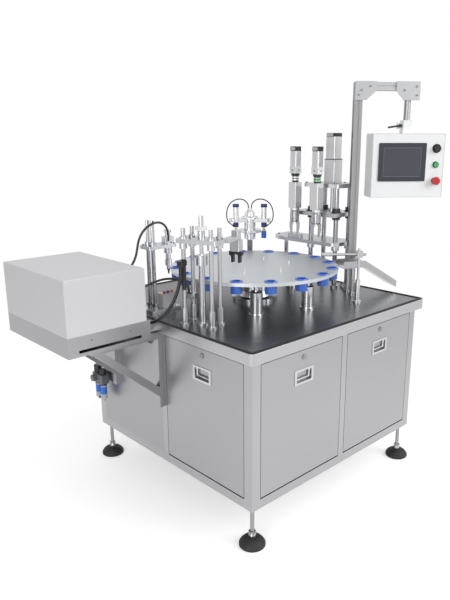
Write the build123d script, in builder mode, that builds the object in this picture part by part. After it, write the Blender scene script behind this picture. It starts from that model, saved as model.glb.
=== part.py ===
"""Bottle filling and capping machine: an indexing dial with bottle pucks on a stainless cabinet.

The origin is on the floor, under the middle of the whole machine. X runs along the
two-door front, Y runs from that front to the back, and Z is up. Sizes are in millimetres.
"""

import os
from math import cos, radians, sin, tan

from build123d import *

os.makedirs("parts", exist_ok=True)

# Overall placing: the table's height and side, and how far the feeder and the operator panel reach out
table_height = 850.0
table_side = 1180.0
table_edge = table_side / 2
feeder_reach = 1030.0
panel_reach = 874.0
cabinet_x = (feeder_reach - panel_reach) / 2

# Fits and clearances
running = 0.05
seat_gap = 0.3
panel_gap = 2.5

# Cabinet frame
table_overhang = 30.0
cabinet_side = table_side - 2 * table_overhang
floor_gap = 176.0
corner_post = 45.0
mid_post = 35.0
rail_height = 40.0
rail_depth = 30.0
tube_wall = 2.0
sheet = 2.0
panel_depth = 18.0
peg_radius = 4.0
peg_inset = 9.0
peg_reach = 6.5

# Feet
foot_inset = 32.0
foot_radius = 55.0
foot_height = 40.0
stud_radius = 9.0
stud_tail = 40.0
nut_across = 28.0
nut_height = 14.0
sole_thickness = 6.0

# Flush handles and quarter-turn locks
handle_width = 115.0
handle_height = 65.0
dish_width = 95.0
dish_height = 46.0
dish_depth = 14.0
dish_flange = 1.5
handle_level = table_height - 176.0
bail_rod = 3.0
bail_width = 82.0
bail_drop = 30.0
lock_level = table_height - 95.0
lock_radius = 9.0
lock_head = 12.0
tongue_reach = 44.0

# Table
table_thickness = 23.0
rim_height = 47.0
rim_wall = 3.0
rim_corner = 20.0
trim_inset = 6.0
trim_width = 12.0
trim_height = 3.0

# Dial
dial_radius = table_edge - 185.0
dial_top = table_height + 164.0
dial_thickness = 15.0
puck_count = 16
puck_circle = dial_radius - 29.0
puck_start = 11.25
puck_body = 26.0
puck_depth = 50.0
puck_flange = 30.0
puck_rim = 4.0
socket_radius = 20.5
socket_floor = 5.0
shaft_radius = 30.0
hub_radius = 100.0
hub_thickness = 24.0
column_gap = 3.0
column_radius = 75.0
column_foot = 110.0
dial_peg_circle = 175.0
dial_peg_count = 6
dial_peg_radius = 4.0
dial_peg_height = 12.0
support_circle = dial_radius - 93.0
support_radius = 28.0
support_turns = (7.0, 117.0, 227.0, 277.0)

# Index drive below the table
drive_width = 260.0
drive_depth = 200.0
drive_height = 170.0
drive_motor_radius = 62.0
drive_motor_length = 210.0

# Control plate inside the cabinet
control_x = cabinet_side / 2 - 230.0
control_width = 620.0
control_height = 440.0
control_sheet = 4.0
duct_levels = (60.0, 310.0)

# Cap placer station on the left of the front corner, beside its puck
placer_puck = 9
placer_x = 120.0 - table_edge
placer_y = 38.8944 - puck_circle * sin(radians(placer_puck * 360 / puck_count - 180 + puck_start))
placer_turn = 20.0
placer_post_radius = 9.0
placer_post_top = table_height + 406.0
placer_post_across = 35.0
placer_post_along = 65.0
placer_plate_width = 100.0
placer_plate_length = 190.0
placer_plate_thickness = 18.0
placer_plate_low = table_height + 346.0
placer_column_radius = 13.0
placer_column_top = table_height + 296.0
placer_shaft_radius = 8.0
placer_shaft_top = table_height + 455.0
placer_down = 45.0
placer_up = 18.0
jaw_thickness = 9.0
jaw_gap = 24.0

# Cap pick station beside the feeder
picker_x = 135.0 - table_edge
picker_y = 152.0
picker_post_radius = 9.0
picker_post_top = table_height + 410.0
picker_plate_low = table_height + 285.0
picker_plate_thickness = 15.0
picker_plate_length = 150.0
picker_plate_width = 80.0
picker_post_out = -42.0
picker_post_spread = 18.5
picker_tool_reach = 53.0
picker_tool_low = table_height + 158.0

# Rotary transfer unit behind the dial
transfer_circle = dial_radius + 33.8275
transfer_place = radians(48.84355)
transfer_x = transfer_circle * cos(transfer_place)
transfer_y = transfer_circle * sin(transfer_place)
transfer_turn = -44.0
transfer_column_radius = 15.0
transfer_arm_half = 113.0
transfer_cup_reach = 77.0
transfer_flange_top = table_height + 277.0
transfer_arm_low = table_height + 317.0
transfer_stroke = 50.0

# Capping tower
tower_x = table_edge - 92.0
tower_y = -60.0
tower_post_radius = 12.0
tower_post_along = 54.0
tower_post_across = 82.0
platform_top = table_height + 240.0
platform_thickness = 18.0
platform_inner = tower_x - 90.0
platform_outer = tower_x + tower_post_along + 33.0
platform_near = -168.0
platform_far = 300.0
carriage_low = table_height + 373.0
carriage_thickness = 20.0
carriage_near = -168.0
carriage_far = 112.0
carriage_up = 55.0
carriage_down = 50.0
top_plate_low = table_height + 518.0
top_plate_thickness = 20.0
actuator_x = tower_x + 7.0
actuator_y = tower_y - 5.0
actuator_side = 68.0
actuator_housing = 117.0
actuator_rod = 10.0
servo_side = 60.0
servo_length = 110.0
servo_cap = 18.0
spindle_side = 50.0
spindle_flange = 12.0
spindle_housing = 132.0
coupling_length = 34.0
gearbox_neck = 11.0
gearbox_length = 34.0
spindle_servo = 78.0
spindle_cap = 23.0
spindle_bottom = table_height + 397.0
chuck_radius = 24.5
chuck_length = 60.0
chuck_spigot = 12.0
finger_turn = -44.0
finger_width = 24.0
finger_length = 67.0
finger_gap = 11.0
finger_slot = 12.0

# Bottle sensor post
sensor_x = table_edge - 300.0
sensor_y = 185.0 - table_edge
sensor_rod = 6.0
sensor_top = table_height + 260.0
sensor_level = table_height + 235.0

# Discharge chute
chute_x = table_edge - 223.0
chute_y = -236.0
chute_turn = -25.0
chute_width = 88.0
chute_wall = 34.0
chute_sheet = 2.0
chute_high = table_height + 135.0
chute_level_run = 120.0
chute_slope_run = 185.0
chute_drop = 115.0

# Operator panel and its stand
pole_x = table_edge - 88.0
pole_y = -204.0
panel_turn = -39.0
profile_side = 40.0
profile_slot = 8.0
profile_groove = 4.0
pole_top = table_height + 1023.0
beam_length = 280.0
hanger_reach = 250.0
hanger_radius = 16.0
bracket_thickness = 8.0
neck_width = 53.0
neck_height = 63.0
box_width = 363.0
box_height = 308.0
box_depth = 120.0
box_bottom = table_height + 475.0
screen_width = 238.0
screen_height = 184.0
screen_along = -31.0
screen_up = 17.0
control_along = 140.0
knob_up = 83.0
start_up = 5.0
stop_up = -73.0

# Cap feeder cover and its shelf
cover_outer = feeder_reach
cover_inner = 677.0
cover_near = -60.0
cover_far = 463.0
cover_low = table_height + 35.0
cover_top = table_height + 255.0
shelf_inner = 660.0
shelf_floor = table_height - 47.0
shelf_sheet = 3.0
bracket_tube = 30.0
bracket_reach = 907.0
bracket_foot = table_height - 395.0
bracket_places = (5.0, 365.0)

# Air preparation unit on the cabinet side
air_along = 90.0 - cabinet_side / 2
air_level = table_height - 410.0
air_block = 42.0

# Hoses
hose_clamp_level = table_height + 254.0
feed_clamp_level = table_height + 98.0
loop_radius = 7.0
feed_radius = 5.0
port_reach = 8.0
feed_port = (0.0, table_height + 162.0)
arch_port = (152.0, table_height + 201.0)
loop_entry = (-cabinet_side / 2 - 8.0, 89.0, table_height - 114.0)
loop_entry_run = (26.0, 1.0, -10.0)
arm_tube_radius = 3.0

half_side = cabinet_side / 2
post_top = table_height - table_thickness
top_rail = post_top - rail_height
low_rail_top = floor_gap + rail_height
bay_width = half_side - corner_post - mid_post / 2
bay_middle = mid_post / 2 + bay_width / 2
foot_place = half_side - foot_inset
dial_low = dial_top - dial_thickness
column_top = dial_low - hub_thickness - column_gap
placer_shaft_low = placer_column_top - placer_up - 37
sides = (0, 90, 180, -90)


def level(x, y, z, turn=0.0):
    """A level sketch plane at a place measured from the cabinet's middle."""
    way = radians(turn)
    return Plane((cabinet_x + x, y, z), x_dir=(cos(way), sin(way), 0), z_dir=(0, 0, 1))


def upright(x, y, z, turn=0.0):
    """An upright sketch plane: its x runs level along turn, and its y runs up."""
    way = radians(turn)
    return Plane((cabinet_x + x, y, z), x_dir=(cos(way), sin(way), 0), z_dir=(sin(way), -cos(way), 0))


def plumb(x, y):
    """The vertical axis at a place measured from the cabinet's middle."""
    return Axis((cabinet_x + x, y, 0), (0, 0, 1))


def cabinet_face(turn):
    """One outer side of the cabinet: x to the viewer's right, y up, and z outwards."""
    way = radians(turn)
    return upright(half_side * sin(way), -half_side * cos(way), 0, turn)


def polar(radius, turn):
    """The x and y of a point round the dial's axis."""
    return radius * cos(radians(turn)), radius * sin(radians(turn))


def across(plane, x=0.0, y=0.0):
    """The plane across a sketch plane's x, at a point on it: its own x runs up the first plane's y."""
    return Plane(plane.from_local_coords(Vector(x, y, 0)), x_dir=plane.y_dir, z_dir=plane.x_dir)


def rod(plane, radius, length, places=((0, 0),), mode=Mode.ADD):
    """Round bars of one size, raised from the places on a plane."""
    with BuildSketch(plane) as ends:
        with Locations(*places):
            Circle(radius)
    extrude(ends.sketch, amount=length, mode=mode)


def plate(plane, width, depth, height, places=((0, 0),), corner=0.0, mode=Mode.ADD):
    """Blocks of one size with rounded upright edges, raised from the places on a plane."""
    with BuildSketch(plane) as ends:
        with Locations(*places):
            if corner:
                RectangleRounded(width, depth, corner)
            else:
                Rectangle(width, depth)
    extrude(ends.sketch, amount=height, mode=mode)


def box_tube(plane, width, depth, length):
    """A hollow square tube, raised from a plane."""
    with BuildSketch(plane) as ring:
        Rectangle(width, depth)
        Rectangle(width - 2 * tube_wall, depth - 2 * tube_wall, mode=Mode.SUBTRACT)
    extrude(ring.sketch, amount=length)


def turned(x, y, outline, mode=Mode.ADD):
    """A turned piece on a vertical axis, from the (radius, height) points of its outline."""
    with BuildSketch(upright(x, y, 0)) as profile:
        with BuildLine():
            Polyline(*outline, close=True)
        make_face()
    revolve(profile.sketch, axis=plumb(x, y), mode=mode)


def pan(side, middle, low, width, height):
    """A sheet panel with its edges folded back, its skin level with the cabinet's side."""
    with BuildSketch(side) as skin:
        with Locations((middle, low + height / 2)):
            Rectangle(width, height)
    extrude(skin.sketch, amount=-panel_depth)
    with BuildSketch(side.offset(-sheet)) as hollow:
        with Locations((middle, low + height / 2)):
            Rectangle(width - 2 * sheet, height - 2 * sheet)
    extrude(hollow.sketch, amount=-panel_depth, mode=Mode.SUBTRACT)


# Rubber feet: four moulded pads
with BuildPart() as foot_pads:
    for foot_x in (-foot_place, foot_place):
        for foot_y in (-foot_place, foot_place):
            with BuildSketch(upright(foot_x, foot_y, 0)):
                with BuildLine():
                    Line((0, 0), (foot_radius - 3, 0))
                    Line((foot_radius - 3, 0), (foot_radius, 3))
                    Line((foot_radius, 3), (foot_radius, 12))
                    RadiusArc((foot_radius, 12), (20, foot_height), -52)
                    Line((20, foot_height), (0, foot_height))
                    Line((0, foot_height), (0, 0))
                make_face()
            revolve(axis=plumb(foot_x, foot_y))
foot_pads.part.label = "foot_pads"
export_step(foot_pads.part, "parts/foot_pads.step")

# Levelling studs with their ball seats and lock nuts
with BuildPart() as foot_studs:
    for foot_x in (-foot_place, foot_place):
        for foot_y in (-foot_place, foot_place):
            turned(foot_x, foot_y, (
                (0, foot_height), (16, foot_height), (16, foot_height + 8), (12, foot_height + 16),
                (stud_radius, foot_height + 16), (stud_radius, floor_gap + stud_tail),
                (0, floor_gap + stud_tail)))
            with BuildSketch(level(foot_x, foot_y, floor_gap - nut_height)):
                RegularPolygon(nut_across / 2, 6, major_radius=False)
            extrude(amount=nut_height)
            with BuildSketch(level(foot_x, foot_y, foot_height + 18)):
                RegularPolygon(nut_across / 2, 6, major_radius=False)
            extrude(amount=nut_height / 2)
foot_studs.part.label = "foot_studs"
export_step(foot_studs.part, "parts/foot_studs.step")

# Upright frame tubes, with the side pegs that the lift-off doors tilt on
with BuildPart() as frame_posts:
    stud_inset = corner_post / 2 - foot_inset
    for out_x in (-1, 1):
        for out_y in (-1, 1):
            post_x = out_x * (half_side - corner_post / 2)
            post_y = out_y * (half_side - corner_post / 2)
            corner = level(post_x, post_y, floor_gap)
            box_tube(corner, corner_post, corner_post, post_top - floor_gap)
            with BuildSketch(corner):
                Rectangle(corner_post - tube_wall, corner_post - tube_wall)
                with Locations((out_x * stud_inset, out_y * stud_inset)):
                    Circle(stud_radius + seat_gap, mode=Mode.SUBTRACT)
            extrude(amount=sole_thickness)
    for turn in sides:
        way = radians(turn)
        middle = half_side - rail_depth / 2
        box_tube(level(middle * sin(way), -middle * cos(way), low_rail_top, turn),
                 mid_post, rail_depth, top_rail - low_rail_top)
    for turn, bays in ((0, (-1, 1)), (-90, (1,))):
        side = cabinet_face(turn).offset(-peg_inset)
        peg_level = low_rail_top + panel_gap + peg_inset
        for bay in bays:
            left = bay * bay_middle - bay_width / 2
            rod(across(side, left, peg_level), peg_radius, peg_reach)
            rod(across(side, left + bay_width - peg_reach, peg_level), peg_radius, peg_reach)
frame_posts.part.label = "frame_posts"
export_step(frame_posts.part, "parts/frame_posts.step")

# Level frame tubes, round the bottom and the top of the cabinet
with BuildPart() as frame_rails:
    rail_length = cabinet_side - 2 * corner_post
    for turn in sides:
        side = cabinet_face(turn).offset(-rail_depth / 2)
        for low in (floor_gap, top_rail):
            start = across(side, -rail_length / 2, low + rail_height / 2)
            box_tube(start, rail_height, rail_depth, rail_length)
frame_rails.part.label = "frame_rails"
export_step(frame_rails.part, "parts/frame_rails.step")

# Screwed-on panels: one on the feeder side, two on the far sides each, and the floor pan
with BuildPart() as cabinet_panels:
    for turn, bays in ((90, (-1, 1)), (180, (-1, 1)), (-90, (-1,))):
        for bay in bays:
            pan(cabinet_face(turn), bay * bay_middle, low_rail_top + seat_gap,
                bay_width - 2 * seat_gap, top_rail - low_rail_top - 2 * seat_gap)
    floor_side = cabinet_side - 2 * rail_depth
    notch = corner_post - rail_depth
    with BuildSketch(level(0, 0, floor_gap + rail_height / 2)):
        Rectangle(floor_side, floor_side)
        with GridLocations(floor_side - notch, floor_side - notch, 2, 2):
            Rectangle(notch + 2 * seat_gap, notch + 2 * seat_gap, mode=Mode.SUBTRACT)
    extrude(amount=sheet)
    entry_x, entry_y, entry_level = loop_entry
    rod(Plane((cabinet_x + entry_x, entry_y, entry_level), z_dir=loop_entry_run), loop_radius + 4, 12)
cabinet_panels.part.label = "cabinet_panels"
export_step(cabinet_panels.part, "parts/cabinet_panels.step")


# Lift-off doors, each with a flush handle dish, its drop handle and a quarter-turn lock
for door_name, turn, bay in (("front_left", 0, -1), ("front_right", 0, 1), ("side", -90, 1)):
    side = cabinet_face(turn)
    middle = bay * bay_middle
    door_width = bay_width - 2 * panel_gap
    door_low = low_rail_top + panel_gap
    door_height = top_rail - low_rail_top - 2 * panel_gap
    with BuildPart() as door:
        pan(side, middle, door_low, door_width, door_height)
        level_edges = door.edges().filter_by(Axis(side.origin, side.x_dir))
        bottom_edges = level_edges.group_by(Axis.Z)[0].sort_by(Axis(side.origin, side.z_dir))
        fillet(bottom_edges[-1], radius=sheet * 2.5)
        plate(side, handle_width, handle_height, dish_flange, ((middle, handle_level),), corner=4)
        plate(side, dish_width + 2 * sheet, dish_height + 2 * sheet, -dish_depth - sheet,
              ((middle, handle_level),), corner=3)
        plate(side.offset(dish_flange), dish_width, dish_height, -dish_depth - dish_flange,
              ((middle, handle_level),), corner=2, mode=Mode.SUBTRACT)
        bail_level = handle_level + dish_height / 2 - bail_rod - 2
        bail_inset = dish_depth / 2
        rod(across(side.offset(-bail_inset), middle - dish_width / 2 - sheet, bail_level),
            bail_rod + running, dish_width + 2 * sheet, mode=Mode.SUBTRACT)
        rod(side.offset(-sheet), lock_radius + running, sheet, ((middle, lock_level),), mode=Mode.SUBTRACT)
        rod(across(side.offset(-peg_inset), middle - door_width / 2, door_low + peg_inset),
            peg_radius + running, door_width, mode=Mode.SUBTRACT)
    door.part.label = f"{door_name}_door"
    export_step(door.part, f"parts/{door_name}_door.step")

    with BuildPart() as bail:
        with BuildLine(side.offset(-bail_inset)):
            arm_x = bail_width / 2 - bail_rod
            pin_x = dish_width / 2 + sheet / 2
            FilletPolyline(
                (middle - pin_x, bail_level), (middle - arm_x, bail_level),
                (middle - arm_x, bail_level - bail_drop), (middle + arm_x, bail_level - bail_drop),
                (middle + arm_x, bail_level), (middle + pin_x, bail_level), radius=2 * bail_rod - 2)
        with BuildSketch(across(side.offset(-bail_inset), middle - pin_x, bail_level)):
            Circle(bail_rod)
        sweep()
    bail.part.label = f"{door_name}_bail"
    export_step(bail.part, f"parts/{door_name}_bail.step")

    with BuildPart() as lock:
        tongue_inset = rail_depth + 1
        spot = ((middle, lock_level),)
        rod(side.offset(seat_gap), lock_head, 3, spot)
        rod(side.offset(seat_gap), lock_radius, -tongue_inset - 3 - seat_gap, spot)
        rod(side.offset(-sheet - seat_gap), lock_head, -4, spot)
        plate(side.offset(-tongue_inset), tongue_reach, lock_radius * 1.6, -3,
              ((middle + tongue_reach / 2, lock_level),), corner=4)
        plate(side.offset(seat_gap + 3), 2.4, 11, -1.5, spot, mode=Mode.SUBTRACT)
    lock.part.label = f"{door_name}_lock"
    export_step(lock.part, f"parts/{door_name}_lock.step")

# Work table with its folded skirt, and the rubber edge strip round the top
with BuildPart() as table_top:
    plate(level(0, 0, table_height), table_side, table_side, -rim_height, corner=rim_corner)
    inner = table_side - 2 * rim_wall
    plate(level(0, 0, post_top), inner, inner, table_thickness - rim_height,
          corner=rim_corner - rim_wall, mode=Mode.SUBTRACT)
    rod(level(0, 0, table_height), shaft_radius + 20, -table_thickness, mode=Mode.SUBTRACT)
    top_face = table_top.faces().sort_by(Axis.Z)[-1]
    fillet(top_face.outer_wire().edges(), radius=rim_wall - 1)
table_top.part.label = "table_top"
export_step(table_top.part, "parts/table_top.step")

with BuildPart() as table_edge_trim:
    strip = table_side - 2 * trim_inset
    plate(level(0, 0, table_height), strip, strip, trim_height, corner=rim_corner - trim_inset)
    plate(level(0, 0, table_height), strip - 2 * trim_width, strip - 2 * trim_width, trim_height,
          corner=4, mode=Mode.SUBTRACT)
table_edge_trim.part.label = "table_edge_trim"
export_step(table_edge_trim.part, "parts/table_edge_trim.step")

# Index drive: a cam gearbox hung under the table, with its geared motor
with BuildPart() as index_drive:
    plate(level(0, 0, post_top), drive_width, drive_depth, -14, corner=10)
    plate(level(0, 0, post_top - 14), drive_width - 40, drive_depth - 30, 14 - drive_height, corner=16)
    motor_end = across(upright(20 - drive_width / 2, 0, post_top - drive_height * 0.6))
    rod(motor_end, drive_motor_radius, -30)
    rod(motor_end.offset(-30), drive_motor_radius - 6, 30 - drive_motor_length)
    rod(level(0, 0, post_top), shaft_radius + running, -drive_height, mode=Mode.SUBTRACT)
index_drive.part.label = "index_drive"
export_step(index_drive.part, "parts/index_drive.step")

# Control plate on its foot, standing on the floor pan, with its drives and wiring ducts
with BuildPart() as control_plate:
    control_low = floor_gap + rail_height / 2 + sheet
    plate(level(control_x, 0, control_low), 60, control_width, control_sheet)
    plate(level(control_x, 0, control_low), control_sheet, control_width, control_height)
    unit_x = control_x - control_sheet / 2
    for unit_y, unit_width, unit_depth in ((-200, 90, 80), (-70, 120, 95), (90, 130, 60), (230, 80, 70)):
        plate(level(unit_x - unit_depth / 2, unit_y, control_low + 120),
              unit_depth, unit_width, 150, corner=4)
    for duct_level in duct_levels:
        plate(level(unit_x - 20, 0, control_low + duct_level), 40, control_width - 40, 30)
control_plate.part.label = "control_plate"
export_step(control_plate.part, "parts/control_plate.step")

# Fixed column round the drive shaft, and the support posts under the dial's rim
with BuildPart() as dial_column:
    turned(0, 0, (
        (shaft_radius + running, table_height), (column_foot, table_height),
        (column_foot, table_height + 15), (column_radius + 8, table_height + 20),
        (column_radius, table_height + 45), (column_radius, column_top - 12),
        (column_radius - 8, column_top), (shaft_radius + running, column_top)))
    for turn in support_turns:
        post_x, post_y = polar(support_circle, turn)
        turned(post_x, post_y, (
            (0, table_height), (support_radius + 6, table_height), (support_radius + 6, table_height + 8),
            (support_radius, table_height + 8), (support_radius, dial_low - 44),
            (support_radius - 6, dial_low - 38), (12, dial_low - 38), (12, dial_low - 14),
            (18, dial_low - 14), (18, dial_low - seat_gap), (0, dial_low - seat_gap)))
dial_column.part.label = "dial_column"
export_step(dial_column.part, "parts/dial_column.step")

# Drive shaft and hub flange that carry the dial
with BuildPart() as dial_hub:
    shaft_low = post_top - drive_height
    turned(0, 0, (
        (0, shaft_low), (shaft_radius, shaft_low), (shaft_radius, dial_low - hub_thickness),
        (hub_radius, dial_low - hub_thickness), (hub_radius, dial_low - 6), (hub_radius - 6, dial_low),
        (0, dial_low)))
dial_hub.part.label = "dial_hub"
export_step(dial_hub.part, "parts/dial_hub.step")

# Dial plate with its puck holes and its six short standing pegs
with BuildPart() as dial_plate:
    with BuildSketch(level(0, 0, dial_low)):
        Circle(dial_radius)
        with PolarLocations(puck_circle, puck_count, start_angle=puck_start):
            Circle(puck_body + 2 * running, mode=Mode.SUBTRACT)
    extrude(amount=dial_thickness)
    with BuildSketch(level(0, 0, dial_top)):
        with PolarLocations(dial_peg_circle, dial_peg_count, start_angle=30):
            Circle(dial_peg_radius)
    extrude(amount=dial_peg_height)
dial_plate.part.label = "dial_plate"
export_step(dial_plate.part, "parts/dial_plate.step")

# Bottle pucks: flanged cups with a stepped socket
with BuildPart() as bottle_pucks:
    puck_low = dial_top - puck_depth
    with BuildSketch(level(0, 0, puck_low)):
        with PolarLocations(puck_circle, puck_count, start_angle=puck_start):
            Circle(puck_body)
    extrude(amount=puck_depth)
    with BuildSketch(level(0, 0, dial_top)):
        with PolarLocations(puck_circle, puck_count, start_angle=puck_start):
            Circle(puck_flange)
    extrude(amount=puck_rim, taper=25)
    with BuildSketch(level(0, 0, puck_low + socket_floor)):
        with PolarLocations(puck_circle, puck_count, start_angle=puck_start):
            Circle(socket_radius)
    extrude(amount=puck_depth + puck_rim, mode=Mode.SUBTRACT)
bottle_pucks.part.label = "bottle_pucks"
export_step(bottle_pucks.part, "parts/bottle_pucks.step")

# Cap placer: four guide posts in sleeves and the lift column
placer = level(placer_x, placer_y, 0, placer_turn)
placer_posts = [(a * placer_post_across, b * placer_post_along) for a in (-1, 1) for b in (-1, 1)]
with BuildPart() as placer_stand:
    rod(placer.offset(table_height), placer_post_radius, placer_post_top - table_height, placer_posts)
    rod(placer.offset(table_height), placer_post_radius + 5, 72, placer_posts)
    rod(placer.offset(table_height), placer_post_radius + 13, 8, placer_posts)
    rod(placer.offset(table_height), placer_column_radius, placer_column_top - table_height)
    rod(placer.offset(table_height), placer_column_radius + 16, 10)
    rod(placer.offset(placer_column_top - 42), placer_column_radius + 11, 42)
    rod(placer.offset(placer_shaft_low - placer_down - 5), placer_shaft_radius + running, 200,
        mode=Mode.SUBTRACT)
    block = level(placer_x, placer_y, hose_clamp_level, placer_turn)
    plate(block, 40, 26, 20, ((-placer_post_across - 14, placer_post_along),), corner=3)
    rod(block, 9, -8, ((-placer_post_across - 27, placer_post_along),))
    plate(level(placer_x, placer_y, feed_clamp_level, placer_turn), 26, 50, 20,
          ((placer_post_across, placer_post_along + 12),), corner=3)
placer_stand.part.label = "placer_stand"
export_step(placer_stand.part, "parts/placer_stand.step")

# Placer head: the lifting plate on its shaft, with the arm that reaches over the dial
placer_plate_top = placer_plate_low + placer_plate_thickness
gripper_turn = puck_start + placer_puck * 360 / puck_count
gripper_x, gripper_y = polar(puck_circle, gripper_turn)
gripper_spot = placer.to_local_coords(Vector(cabinet_x + gripper_x, gripper_y, 0))
arm_reach = gripper_spot.X - placer_plate_width / 2
with BuildPart() as placer_head:
    plate(placer.offset(placer_plate_low), placer_plate_width, placer_plate_length, placer_plate_thickness,
          corner=8)
    rod(placer.offset(placer_plate_low - 22), placer_post_radius + 7, 22, placer_posts)
    rod(placer.offset(placer_plate_top), placer_post_radius + 5, 8, placer_posts)
    rod(placer.offset(placer_shaft_low), placer_shaft_radius, placer_plate_low - placer_shaft_low)
    rod(placer.offset(placer_plate_top), 15, 30)
    rod(placer.offset(placer_plate_top + 30), placer_shaft_radius + 2,
        placer_shaft_top - placer_plate_top - 30)
    rod(placer.offset(placer_plate_top + 34), 24, 14)
    with BuildSketch(placer.offset(placer_plate_low)):
        with Locations((gripper_spot.X - arm_reach / 2, gripper_spot.Y)):
            Rectangle(arm_reach + 30, 30)
    extrude(amount=placer_plate_thickness)
    body_spot = ((gripper_spot.X, gripper_spot.Y),)
    plate(placer.offset(placer_plate_low - 48), 40, 44, 48, body_spot, corner=3)
    plate(placer.offset(placer_plate_top), 34, 30, 22, body_spot, corner=3)
    rod(placer.offset(placer_plate_low - 22), placer_post_radius + running, 60, placer_posts,
        mode=Mode.SUBTRACT)
placer_head.part.label = "placer_head"
export_step(placer_head.part, "parts/placer_head.step")

# Placer jaws: two fingers under the gripper body
for jaw_name, hand in (("placer_jaw_left", -1), ("placer_jaw_right", 1)):
    jaw_top = placer_plate_low - 48 - seat_gap
    with BuildPart() as jaw:
        jaw_side = across(placer, gripper_spot.X - 10, gripper_spot.Y)
        with BuildSketch(jaw_side):
            with BuildLine():
                Polyline(
                    (hand * 4, jaw_top), (hand * 30, jaw_top), (hand * 30, jaw_top - 16),
                    (hand * (jaw_gap / 2 + jaw_thickness), jaw_top - 22),
                    (hand * (jaw_gap / 2 + jaw_thickness), jaw_top - 48), (hand * jaw_gap / 2, jaw_top - 48),
                    (hand * jaw_gap / 2, jaw_top - 14), (hand * 4, jaw_top - 14), close=True)
            make_face()
        extrude(amount=20)
    jaw.part.label = jaw_name
    export_step(jaw.part, f"parts/{jaw_name}.step")

# Cap pick station: two posts on a foot plate, their cross plate, and the valve block beside them
picker = level(picker_x, picker_y, 0)
picker_posts = ((picker_post_out, picker_post_spread), (picker_post_out, -picker_post_spread))
picker_plate_top = picker_plate_low + picker_plate_thickness
tool_spot = ((picker_tool_reach, 0),)
with BuildPart() as picker_stand:
    plate(picker.offset(table_height), picker_plate_length + 16, picker_plate_width + 20, 12, corner=8)
    rod(picker.offset(table_height + 12), picker_post_radius,
        picker_post_top - table_height - 12, picker_posts)
    rod(picker.offset(table_height + 12), picker_post_radius + 6, 26, picker_posts)
    plate(picker.offset(picker_plate_low), picker_plate_length, picker_plate_width, picker_plate_thickness,
          corner=10)
    rod(picker.offset(picker_plate_top), picker_post_radius + 6, 14, picker_posts)
    plate(picker.offset(picker_plate_top), 46, 36, 30, tool_spot, corner=4)
    rod(picker.offset(picker_plate_low - 30), 19, 30, tool_spot)
    rod(picker.offset(picker_plate_low - 30), 12 + running, 80, tool_spot, mode=Mode.SUBTRACT)
    plate(picker.offset(table_height + 12), 70, 50, 62, ((28, -10),), corner=3)
    rod(picker.offset(table_height + 74), 7, 12, ((8, -22), (28, -22), (48, -22)))
    rod(picker.offset(picker_plate_top), 8, 14, ((35, -30),))
picker_stand.part.label = "picker_stand"
export_step(picker_stand.part, "parts/picker_stand.step")

# Pick tool: the sliding rod with its cylinder, collar and nozzle
with BuildPart() as picker_tool:
    tool_x = picker_x + picker_tool_reach
    tool_low = picker_tool_low
    turned(tool_x, picker_y, (
        (0, tool_low), (3, tool_low), (5, tool_low + 18), (9, tool_low + 22), (9, tool_low + 38),
        (16, tool_low + 40), (16, tool_low + 68), (12, tool_low + 70), (12, picker_plate_top + 48),
        (17, picker_plate_top + 48), (17, picker_plate_top + 60), (0, picker_plate_top + 60)))
picker_tool.part.label = "picker_tool"
export_step(picker_tool.part, "parts/picker_tool.step")

# Transfer unit: its standing column with the bearing flange and pivot
with BuildPart() as transfer_column:
    flange_low = transfer_flange_top - 15
    turned(transfer_x, transfer_y, (
        (0, table_height), (transfer_column_radius * 2, table_height),
        (transfer_column_radius * 2, table_height + 12), (transfer_column_radius, table_height + 12),
        (transfer_column_radius, flange_low - 38), (32, flange_low - 38), (32, flange_low - 4),
        (44, flange_low - 4), (48, flange_low), (61, flange_low), (61, transfer_flange_top),
        (12, transfer_flange_top), (12, transfer_arm_low + 10), (0, transfer_arm_low + 10)))
transfer_column.part.label = "transfer_column"
export_step(transfer_column.part, "parts/transfer_column.step")

# Transfer arm: hub, cross bar, top dome and the two air cylinders
transfer = level(transfer_x, transfer_y, 0, transfer_turn)
arm_ends = ((-transfer_cup_reach, 0), (transfer_cup_reach, 0))
arm_top = transfer_arm_low + 20
cylinder_top = arm_top + 61
with BuildPart() as transfer_arm:
    hub_low = transfer_flange_top + seat_gap
    turned(transfer_x, transfer_y, (
        (0, hub_low), (32, hub_low), (32, arm_top), (46, arm_top), (44, arm_top + 8),
        (30, arm_top + 14), (24, arm_top + 36), (14, arm_top + 48), (0, arm_top + 48)))
    with BuildSketch(transfer.offset(transfer_arm_low)):
        SlotOverall(2 * transfer_arm_half, 46)
    extrude(amount=20)
    rod(transfer.offset(transfer_arm_low - 28), 15, 28, arm_ends)
    rod(transfer.offset(arm_top), 16, 61, arm_ends)
    rod(transfer.offset(cylinder_top), 17.5, 17, arm_ends)
    rod(transfer.offset(hub_low), 12 + running, transfer_arm_low + 10.5 - hub_low, mode=Mode.SUBTRACT)
    rod(transfer.offset(transfer_arm_low - 28), 5 + running, transfer_stroke + 50, arm_ends,
        mode=Mode.SUBTRACT)
    rod(transfer.offset(arm_top + 46), 5, 10, ((-8, 0), (8, 0)))
    for hand in (-1, 1):
        elbow_way = transfer.x_dir * (hand * 22) + Vector(0, 0, 14)
        elbow_at = transfer.from_local_coords(Vector(hand * 97, 0, transfer_arm_low - 17))
        elbow = Plane(elbow_at, z_dir=elbow_way)
        rod(elbow, 5, -12)
transfer_arm.part.label = "transfer_arm"
export_step(transfer_arm.part, "parts/transfer_arm.step")

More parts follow.
